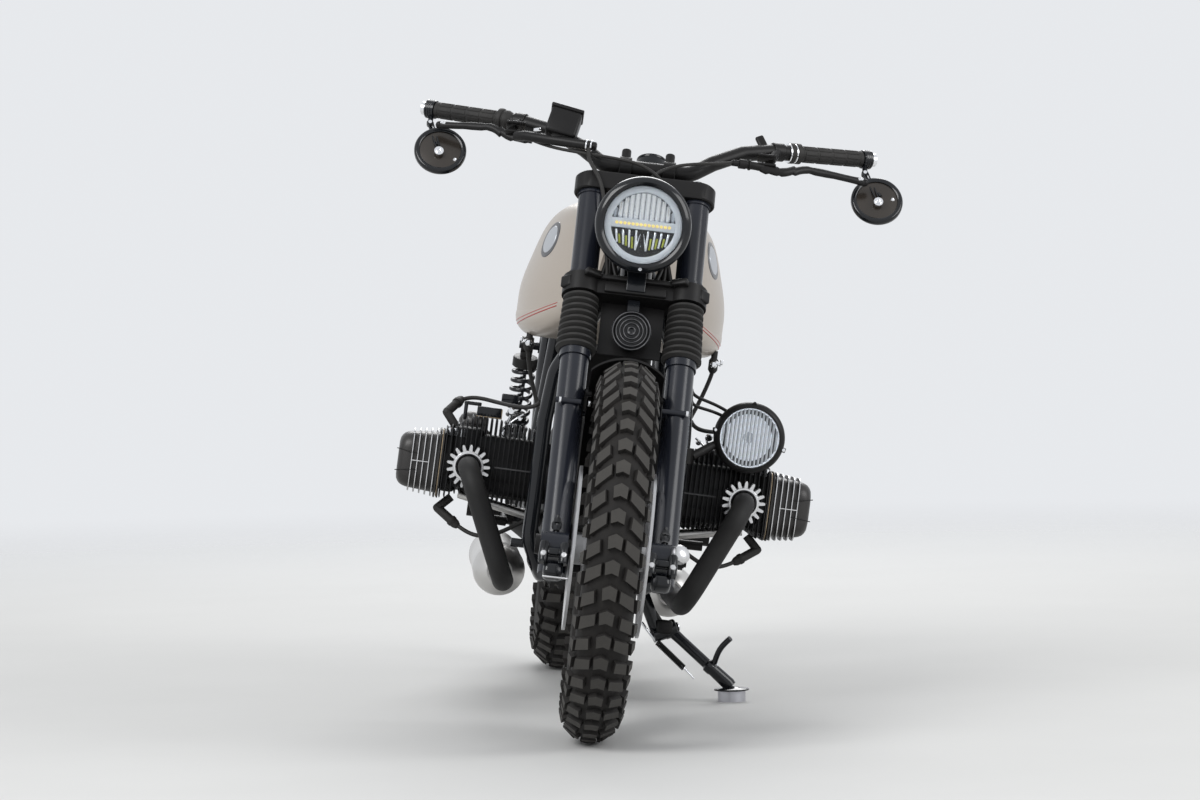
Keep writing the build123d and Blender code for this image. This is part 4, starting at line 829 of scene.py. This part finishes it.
# Lighter grey strips along each fin's front edge and along the rib before them
lighter_fin = Finish("lighter_fin_edge", (0.06, 0.06, 0.062), 0.5, 0.3)
lighter_fin.vary(shades=((0.03, 0.03, 0.031), (0.1, 0.1, 0.103), 14, 4))
FINS, FIRST_FIN, FIN_STEP, HEAD_X = 21, 118, 8.9, 270
PORT_X, BACKWARD = 252, rolled(-90, "X")
fin_tops = ((100, 500), (150, 507), (211, 517), (249, 519), (288, 497), (304, 488))
fin_feet = ((100, 360), (131, 362), (191, 367), (232, 372), (260, 379), (284, 364), (304, 362))
fin_levels = [(0, 0.982), (0.4, 1), (1.7, 1), (2.1, 0.982)]
barrel = [(0, 102), (52, 102), (52, 262), (46, 264), (46, 301), (0, 301)]
port = [(0, -14), (27, -14), (27, 6), (25, 8), (25, 42), (0, 42)]
plug_knee = [(0, -8), (4, -7), (7, -4), (8.4, 0), (7, 4), (4, 7), (0, 8)]
plug_boot = [(0, -10), (10, -10), (10, -4), (9, -3), (8.4, 3), (5.6, 9), (0, 9)]
rod_seal = [(7.8, 0), (12, 0), (12.6, 4), (10, 8), (12.6, 12), (12, 17), (7.8, 17), (7.8, 0)]
head_nut = [(0, -8), (4.6, -8), (4.6, 5), (3.6, 6), (0, 6.4)]


def along_table(table, x):
    """The height that a table of (x, height) gives at x."""
    for (x0, z0), (x1, z1) in zip(table, table[1:]):
        if x <= x1:
            return z0 + (z1 - z0) * (x - x0) / (x1 - x0)
    return table[-1][1]


def fin_reach(x):
    """The height of a fin's middle at x, and how tall the fin is."""
    low, high = along_table(fin_feet, x), along_table(fin_tops, x)
    return (low + high) / 2, high - low


for hand, s, y in CYLINDERS:
    turn_out = rolled(s * 90, "Y")
    core = [turned(barrel, 48, to(0, y, BORE_Z) @ turn_out)]
    lighter_edges = [block((92, 2.4, 3), (s * 158, y - 62.6, 430), 0.8)]
    for number in range(FINS):
        x = FIRST_FIN + FIN_STEP * number
        middle, tall = fin_reach(x)
        depth = 124 if x < HEAD_X else 112
        core.append(plate(rounded(tall, depth, 18, 5), fin_levels, to(s * x, y, middle) @ turn_out))
        x += 1
        middle, tall = fin_reach(x)
        front = 62 if x < HEAD_X else 56
        lighter_edges.append(block((1.3, 0.8, tall - 34), (s * x, y - front - 0.2, middle), 0.3))
    settle(lighter_edges, f"fin_edges_{hand}", bike, "chassis", lighter_fin, 30)
    core.append(block((30, 84, 108), (s * 286, y, 428), 8))
    core.append(block((60, 92, 112), (s * 258, y, 440), 10))
    core.append(block((150, 96, 108), (s * 175, y, 432), 12))
    core.append(turned(port, 40, to(s * PORT_X, y - 78, 427) @ BACKWARD))
    core.append(turned([(0, 0), (22, 0), (22, 58), (0, 58)], 32, to(s * PORT_X, y + 24, 455) @ BACKWARD))
    cylinder = f"cylinder_{hand}"
    settle(core, f"cylinder_fins_{hand}", bike, "chassis", fin_paint, 35, [cylinder])
    leads = []
    upper_lead = [(262, y + 46, 553), (223, y + 28, 549), (178, 468, 545), (146, 431, 549), (138, 414, 562)]
    lower_lead = [(238, y - 26, 303), (212, y - 34, 296), (174, y - 46, 311), (104, y - 50, 362)]
    for plug_z, knee, boot, lead in (
        (60, (302, y + 6, 518), (281, y + 38, 541), upper_lead),
        (-60, (297, y - 2, 341), (262, y - 14, 317), lower_lead),
    ):
        knee, boot, *lead = (Vector((s * px, py, pz)) for px, py, pz in (knee, boot, *lead))
        leads.append(tube([(s * 274, y, BORE_Z + plug_z), knee], 8, 2, 5))
        leads.append(tube([knee, boot], 8.4, 2, 5))
        leads.append(turned(plug_knee, 28, to(*knee)))
        leads.append(turned(plug_boot, 28, aim(boot, boot - knee)))
        leads.append(tube([boot, *lead], 3.9))
    settle(leads, f"plug_leads_{hand}", bike, "chassis", rubber, 50)
    rods, seals = [], []
    for rod_y in (y - 30, y + 22):
        rods.append(tube([(s * 104, rod_y, 343), (s * 262, rod_y, 372)], 7.6, 2, 6))
        seals.append(turned(rod_seal, 28, aim((s * 104, rod_y, 343), (s * 158, 0, 29))))
    settle(rods, f"pushrod_tubes_{hand}", bike, "chassis", steel)
    settle(seals, f"pushrod_seals_{hand}", bike, "chassis", rubber)
    nuts = []
    for x, nut_y in ((292, y - 48), (282, y - 48), (292, y + 40), (268, y - 52)):
        nuts.append(turned(head_nut, 6, to(s * x, nut_y, 486)))
    settle(nuts, f"head_nuts_{hand}", bike, "chassis", mirror_plate)

# Exhaust nuts: turned alloy rings with seventeen thick rounded fins, screwed over each pipe's end
NUT_FINS = 17
nut_ring = [(21.4, -1), (28.6, -1), (28.6, 23), (27, 25.6), (24, 26), (21.4, 24), (21.4, -1)]
nut_fin = [(24, -3.4), (34, -2.9), (38.4, -2.3), (39.6, -1), (39.6, 1), (38.4, 2.3), (34, 2.9), (24, 3.4)]
for hand, s, y in CYLINDERS:
    port_at = bike @ to(s * PORT_X, y - 82, 427) @ rolled(90, "X")
    ring = [turned(nut_ring, 72)]
    for number in range(NUT_FINS):
        levels = [(0, 0.99), (0.6, 1), (22, 1), (24.4, 0.985)]
        ring.append(plate(nut_fin, levels, rolled(number * 360 / NUT_FINS + 4, "Z")))
    nut = f"exhaust_nut_{hand}"
    settle(ring, f"exhaust_nut_ring_{hand}", port_at, "chassis", alloy, 30, [nut])

# Carburettors: black bodies with a domed top, a float bowl below and a ribbed rubber bellows to the
# air filter; plated levers, a bracket and a small black box beside the head, whose bronze edges are
# a painted reflection
throat = [(0, -2), (24, -2), (24, 12), (27, 14), (27, 18), (24, 20), (24, 36), (30, 40), (30, 84), (0, 84)]
bowl = [(0, 408), (16, 408), (22, 411), (25, 418), (26, 440), (26, 498), (28, 500), (28, 506), (24, 514)]
bowl += [(14, 521), (0, 524)]
bellows = [(0, 80), (33, 80)]
for low in range(84, 151, 11):
    bellows += [(39, low), (39, low + 4), (34, low + 7)]
bellows += [(30, 162), (0, 162)]
for hand, s, y in CYLINDERS:
    x, inlet_y = s * PORT_X, y + 82
    body = [turned(throat, 40, to(x, inlet_y, 455) @ BACKWARD)]
    body.append(turned(bowl, 48, to(x - s * 4, inlet_y + 60, 0)))
    hides = [f"carburettor_{hand}"]
    settle(body, f"carburettor_body_{hand}", bike, "chassis", cast_black, 35, hides)
    cone = turned(bellows, 48, to(x - s * 10, inlet_y, 458) @ BACKWARD)
    settle(cone, f"intake_bellows_{hand}", bike, "chassis", rubber, 30)
    linkage = [tube([(s * 190, y + 30, 488), (s * 188, y + 32, 512), (s * 180, y + 34, 534)], 3.4, 2)]
    linkage.append(tube([(s * 200, y + 30, 494), (s * 172, y + 32, 524), (s * 160, y + 34, 530)], 2.4, 3))
    for px, pz, r in ((192, 492, 6), (180, 506, 5), (184, 534, 7), (166, 522, 5)):
        pulley = [(0, 0), (r, 0), (r, 5), (r - 2, 7), (0, 7)]
        linkage.append(turned(pulley, 20, aim((s * px, y + 32, pz), FRONT)))
    settle(linkage, f"throttle_linkage_{hand}", bike, "chassis", mirror_plate)
    if s < 0:
        box = [block((46, 20, 20), (-224, 563, 527), 2.4), block((7, 14, 34), (-268, 568, 526), 2)]
        box += [block((32, 8, 7), (-256, 568, 540), 2), block((32, 22, 18), (-188, 606, 556), 3)]
        settle(box, "coil_box", bike, "chassis", gloss)
        # Painted reflection: thin bronze strips along the box's lower front edge and one upright edge
        edges = [block((46.6, 1.2, 1.6), (-224, 553, 518.5), 0.4)]
        edges.append(block((1.4, 1.4, 18), (-201, 553, 527), 0.4))
        settle(edges, "coil_box_edge_reflection", bike, "chassis", bronze)

# Silencers: spun satin steel with a short rounded front cone round the pipe, a seam round each end
# and an open tail
skin = [(20, 718), (24, 718), (30, 722), (37, 729), (43, 738), (47, 750), (49, 766), (49.6, 770), (49.6, 776)]
skin += [(49, 778), (49, 1226), (49.6, 1228), (49.6, 1233), (49, 1236), (44, 1256), (37, 1280), (35, 1290)]
skin += [(27, 1291), (26, 1288), (26, 1232), (20, 1231), (20, 718)]
for hand, s in SIDES:
    hides, axis = [f"silencer_{hand}"], bike @ to(s * 163, 0, 229) @ BACKWARD
    settle(turned(skin, 96), f"silencer_skin_{hand}", axis, "chassis", steel, 30, hides)

# Axle clamps: under each slider two vertical ears with bright pinch bolts and a bridge between them,
# a drain plug stack in front of the leg, and the domed nut of the axle on the left
clamp_ear = [(0, -46), (7, -46), (8.4, -43), (8.4, -10), (7, -7), (0, -7)]
pinch_bolt = [(0, 0), (5.6, 0), (5.6, 2.4), (4.4, 4.4), (0, 5)]
slider_plug = [(0, -12), (9, -12), (9, 4), (7, 6), (0, 6)]
axle_nut = [(0, -6), (17, -6), (17, 3), (13, 8), (6, 10.6), (0, 11)]
ears, bright = [], []
for s, spots in ((-1, (-112, -77)), (1, (74, 110))):
    for x in spots:
        ears.append(turned(clamp_ear, 32, to(x, -100, 0)))
        bright.append(turned(pinch_bolt, 24, aim((x, -106, -32), FRONT)))
    ears.append(block((26, 14, 12), (s * 93, -98, -24), 3))
    ears.append(block((34, 34, 24), (s * 93, -84, -54), 8))
    ears.append(turned(slider_plug, 28, aim((s * LEG_X, -66, 43), FRONT)))
    for low in (30, 45):
        drain_plug = [(0, low), (6.4, low), (6.4, low + 8), (5.4, low + 9.4), (0, low + 9.4)]
        ears.append(turned(drain_plug, 6, to(s * LEG_X, -70, 0)))
    ears.append(tube([(s * LEG_X, -70, 6), (s * LEG_X, -70, 60)], 2.8, 2))
bright.append(block((44, 3, 2.6), (-88, -101, -72), 0.8))
bright.append(turned(axle_nut, 32, aim((122, -92, 2), (0.5, -0.85, 0.1))))
settle(ears, "axle_clamp_ears", fork, "steering", gloss, 35)
settle(bright, "axle_clamp_bolts", fork, "steering", alloy, 35)


# Side stand: a forged leg with a collar, a turned ankle and a round plate, pivoting on a bolt through
# an eye. A curved toe lever leaves its collar, and a coil spring with hooked ends holds it out.
def helix(radius, low, high, steps, turn):
    """The points of a coil spring about z, each turned from the last by turn in radians."""
    points = []
    for step in range(steps + 1):
        angle = step * turn
        points.append((radius * math.cos(angle), radius * math.sin(angle), low + (high - low) * step / steps))
    return points


pivot, foot = Vector((169, 700, 162)), Vector((301, 669, 45))
foot_up, pin = Vector((-0.1495, 0, 0.9888)), Vector((0.904, 0.133, 0.407)).normalized()
ankle = foot + foot_up * 27
length = (ankle - pivot).length
leg = [(0, 0), (11, 0), (10, 0.2 * length), (10, 0.6 * length), (13.6, 0.62 * length), (13.6, 0.69 * length)]
leg += [(12, 0.71 * length), (13, 0.96 * length), (11, length), (0, length)]
eye = [(0, -10), (17, -10), (17, 11), (15, 13), (9, 13), (9, 17), (0, 17)]
pad = [(0, 20), (31, 20), (33.4, 21), (33.4, 23), (31, 24.4), (17, 25), (14, 27), (0, 28)]
stand = [turned(leg, 40, aim(pivot, ankle - pivot)), turned(eye, 40, aim(pivot, pin))]
stand.append(turned(pad, 64, aim(foot, foot_up)))
toe = [(258.6, 676, 105), (260, 664, 120), (261, 655, 130), (266, 645, 147), (280, 635, 164)]
stand.append(tube(toe, 5.5, 4, 5))
settle(stand, "side_stand_leg", bike, "side_stand", gloss, 35, ["side_stand"])
start, stop = Vector((148, 690, 136)), Vector((204.5, 684, 94))
coil = tube(helix(5.2, 0, (stop - start).length, 176, 0.785), 1.45, 3, 2)
settle(shift(coil, aim(start, stop - start)), "stand_spring", bike, "side_stand", enamel, 60)
hooks = [tube([(115, 692, 169), (124, 689, 158), start, start + (stop - start) * 0.1], 2.6, 3)]
hooks.append(tube([start + (stop - start) * 0.9, stop, (216, 682, 85), (225, 680, 77)], 1.8, 3))
hooks.append(turned([(0, 13), (8, 13), (8, 18), (6, 20), (0, 20)], 6, aim(pivot, pin)))
hooks.append(turned(sleeve(5.5, 8, 0, 5), 28, aim((258.8, 675, 107), (0, -10, 14))))
settle(hooks, "stand_bright_parts", bike, "side_stand", mirror_plate, 50)
bracket = [tube([(98, 690, 246), (116.6, 695, 211), (151, 692, 172)], 6, 2)]
bracket.append(block((30, 24, 26), (158, 690, 166), 5))
settle(bracket, "stand_bracket", bike, "chassis", enamel)

# Tank badges and lining: a plain round badge let into each side, and two thin red lines along the
# lower edge, laid on the tank's own surface
red_line = Finish("red_lining", (0.42, 0.02, 0.015), 0.35, Coat_Weight=0.3)
red_line.vary((0.25, 0.45, 60))
badge_ring = Finish("badge_ring", (0.05, 0.052, 0.058), 0.28, 0.4, Coat_Weight=0.3)
badge_ring.vary((0.2, 0.4, 70))
badge_face = Finish("badge_face", (0.5, 0.52, 0.55), 0.3, 0.7)
badge_face.vary((0.22, 0.42, 70))
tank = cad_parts["tank"]
to_tank, from_tank = tank.matrix_world.inverted() @ bike, bike.inverted() @ tank.matrix_world
OUTSIDE_X = 400


def on_tank(point, way):
    """Where a line from point along way meets the tank, and the outward direction there, or None."""
    found, spot, normal, _ = tank.ray_cast(to_tank @ Vector(point), to_tank.to_3x3() @ Vector(way))
    return (from_tank @ spot, (from_tank.to_3x3() @ normal).normalized()) if found else None


ring_rise = [(0, 0.4), (12, 0.5), (24, 0.6), (33, 0.8), (35, 0.8), (36, 0)]
face_rise = [(0, 1.3), (10, 1.4), (20, 1.4), (26, 1.3), (27, 0.5)]
for hand, s in SIDES:
    centre, way = on_tank((s * OUTSIDE_X, 596, 860), (-s, 0, 0))
    badge_at = aim(centre, way)
    for name, rings, finish in (("ring_", ring_rise, badge_ring), ("", face_rise, badge_face)):
        disc = turned(rings, 64)
        for vertex in disc.data.vertices:
            hit = on_tank(badge_at @ Vector((vertex.co.x, vertex.co.y, 60)), -way)
            if hit:
                vertex.co = badge_at.inverted() @ (hit[0] + way * vertex.co.z)
        settle(disc, f"tank_badge_{name}{hand}", bike @ badge_at, "chassis", finish)
    lines = []
    for gap, radius in ((0, 1.1), (6, 0.8)):
        path = []
        for y in range(510, 970, 20):
            hit = on_tank((s * OUTSIDE_X, y, 696 + gap + 60 * ((y - 730) / 260) ** 2), (-s, 0, 0))
            if hit:
                path.append(hit[0] + hit[1] * 0.15)
        lines.append(tube(path, radius, 3, 2))
    settle(lines, f"tank_lining_{hand}", bike, "chassis", red_line, 60)

# Fuel taps: a small turned body under each side of the tank, with a bright wing lever and a hose
tap = [(0, -16), (5, -16), (9, -10), (9, 8), (6, 12), (6, 26), (0, 26)]
for hand, s, x, z in (("right", -1, -166, 664), ("left", 1, 182, 668)):
    drop = ((0, 650, 14), (4, 656, 40), (20, 670, 90), (40, 660, 130))
    hose = tube([(x - s * inward, y, z - down) for inward, y, down in drop], 4)
    settle([turned(tap, 28, to(x, 650, z)), hose], f"fuel_tap_{hand}", bike, "chassis", rubber)
    lever = [turned([(0, 0), (6, 0), (7, 3), (5, 8), (0, 9)], 24, aim((x, 642, z), FRONT))]
    lever.append(block((13, 3, 6), (x + s * 8, 637, z + 3), 1.2, (0, s * 20, 0)))
    lever.append(block((6, 3, 9), (x + s * 14, 636, z + 6), 1.4))
    settle(lever, f"fuel_tap_lever_{hand}", bike, "chassis", mirror_plate)

# Rear shock absorbers: a black damper body and chrome rod inside an open coil spring, between a cup
# above and a threaded collar below, with a rubber-bushed eye at each end
shock_eye = [(8.5, -12), (15.4, -12), (16, -11), (16, 11), (15.4, 12), (8.5, 12), (8.5, -12)]
for hand, s in SIDES:
    high, low = Vector((s * 150, 1245, 655)), Vector((s * 150, 1330, 372))
    strut = aim(low, high - low)
    length = (high - low).length
    damper = [(0, 14), (13, 14), (13, 30), (24, 31), (25, 34), (25, 40), (19, 41), (19, 62), (17, 64)]
    damper += [(17, 150), (14, 152), (0, 152)]
    cup = [(0, 46), (22, 46), (25, 44), (25, 28), (24, 25), (12, 24), (12, 12), (0, 12)]
    body = [turned(damper, 48, strut), turned([(r, length - drop) for r, drop in cup], 48, strut)]
    body += [turned(shock_eye, 40, aim(spot, (1, 0, 0))) for spot in (high, low)]
    settle(body, f"shock_body_{hand}", bike, "chassis", enamel, 35, [f"shock_{hand}"])
    spring = shift(tube(helix(21.4, 43, length - 48, 132, 0.5236), 4, 3, 4), strut)
    settle(spring, f"shock_spring_{hand}", bike, "chassis", gloss, 60)
    bits = [turned([(0, 140), (6.4, 140), (6.4, length - 40), (0, length - 40)], 32, strut)]
    for spot in (high, low):
        bits.append(turned([(0, -14), (8, -14), (8, 14), (5, 17), (0, 17)], 28, aim(spot, (s, 0, 0))))
    settle(bits, f"shock_rod_{hand}", bike, "chassis", mirror_plate)

# Speedometer: a deep round case with a narrow black bezel round its face
dial_at = fork @ to(8, 23, 0)
case = [(0, 773), (10, 774), (20, 780), (26, 790), (27, 800), (27, 836), (26.4, 840), (24.4, 841)]
case = turned([*case, (24.4, 837), (0, 837)], 64)
settle(case, "speedometer_case", dial_at, "steering", gloss, 35, ["speedometer"])
bezel = turned([(24.2, 839), (24.6, 842), (26, 843), (27.4, 842), (27.6, 838), (27, 837), (24.2, 839)], 64)
settle(bezel, "speedometer_bezel", dial_at, "steering", gloss)

# Seat: a low padded saddle in grained black leather, stuffed over its base plate, with a raised edge
# in front and a kick at the back, piping round its rim and three sewn channels across
leather = Finish("seat_leather", (0.022, 0.019, 0.017), 0.5, Specular_IOR_Level=0.4)
leather.vary((0.36, 0.61, 30), ((0.014, 0.012, 0.011), (0.04, 0.033, 0.028), 7, 5))
leather.bump(leather.node("TexVoronoi", Vector=leather.place, Scale=520.0), 0.3, 0.0005)
SEAT_BASE, SEAT_HALF, SEAT_MIDDLE, CHANNELS = 757.6, 118, 1227, (1112, 1218, 1324)
seat_tops = [(996, 812), (1060, 806), (1140, 797), (1218, 793), (1300, 798), (1380, 813)]
seat_tops += [(1430, 817), (1470, 812)]


def seat_bow(v):
    """How much the seat narrows at v, from -1 in front to 1 at the back."""
    return math.sqrt(max(0, 1 - 0.35 * v**4)) * (1 - 0.2 * max(0, -v) ** 2)


start_fresh()
bpy.ops.mesh.primitive_grid_add(x_subdivisions=36, y_subdivisions=64, size=1)
seat = bpy.context.object
extrude()
bpy.ops.mesh.extrude_region_move(TRANSFORM_OT_translate={"value": (0, 0, 0.5)})
close_up()
for vertex in seat.data.vertices:
    u, v, w = vertex.co.x * 2, vertex.co.y * 2, vertex.co.z
    y = SEAT_MIDDLE + 231 * v * math.sqrt(1 - 0.1 * u * u)
    crown = (1 - u**4) * (1 - v**6)
    height = (along_table(seat_tops, y) - SEAT_BASE) * (0.55 + 0.45 * crown) if w > 0.1 else 0.8
    vertex.co = (u * SEAT_HALF * seat_bow(v), y, SEAT_BASE + height)
remesh = seat.modifiers.new("voxels", "REMESH")
remesh.mode = "VOXEL"
remesh.voxel_size = 6
bpy.context.view_layer.objects.active = seat
bpy.ops.object.modifier_apply(modifier="voxels")
shift(seat, Matrix.Scale(0.001, 4))
before = [vertex.co.copy() for vertex in seat.data.vertices]
held = seat.vertex_groups.new(name="held")
for vertex in seat.data.vertices:
    y, z = vertex.co.y * 1000, vertex.co.z * 1000
    sewn = any(abs(y - channel) < 4 for channel in CHANNELS) and z > SEAT_BASE + 12
    if sewn or z < SEAT_BASE + 4:
        held.add([vertex.index], 1.0, "REPLACE")
cloth = seat.modifiers.new("stuffing", "CLOTH")
cloth.settings.quality = 4
cloth.settings.use_pressure = True
cloth.settings.uniform_pressure_force = 4
cloth.settings.effector_weights.gravity = 0
cloth.settings.vertex_group_mass = "held"
cloth.point_cache.frame_start, cloth.point_cache.frame_end = 1, 20
for number in range(1, 21):
    bpy.context.scene.frame_set(number)
bpy.ops.object.modifier_apply(modifier="stuffing")
for vertex, first in zip(seat.data.vertices, before):
    moved = vertex.co - first
    vertex.co = first + (moved if moved.length < 0.008 else moved.normalized() * 0.008)
bpy.context.scene.frame_set(1)
shift(seat, Matrix.Scale(1000, 4))
seat.vertex_groups.clear()
finer = seat.modifiers.new("finer", "SUBSURF")
finer.levels = finer.render_levels = 1
bpy.ops.object.modifier_apply(modifier="finer")
settle(seat, "seat_pad", bike, "chassis", leather, 60, ["seat"])
rim_path = []
for step in range(73):
    turn = math.radians(5 * step)
    u, v = math.cos(turn), math.sin(turn)
    stretch = 1 / max(abs(u) ** 5 + abs(v) ** 5, 0.01) ** 0.2
    u, v = u * stretch, v * stretch
    y = SEAT_MIDDLE + 232 * v * math.sqrt(1 - 0.1 * u * u)
    rim_path.append((u * (SEAT_HALF + 1) * seat_bow(v), y, SEAT_BASE + 6))
settle(tube(rim_path, 2.6, 3), "seat_piping", bike, "chassis", leather, 60)
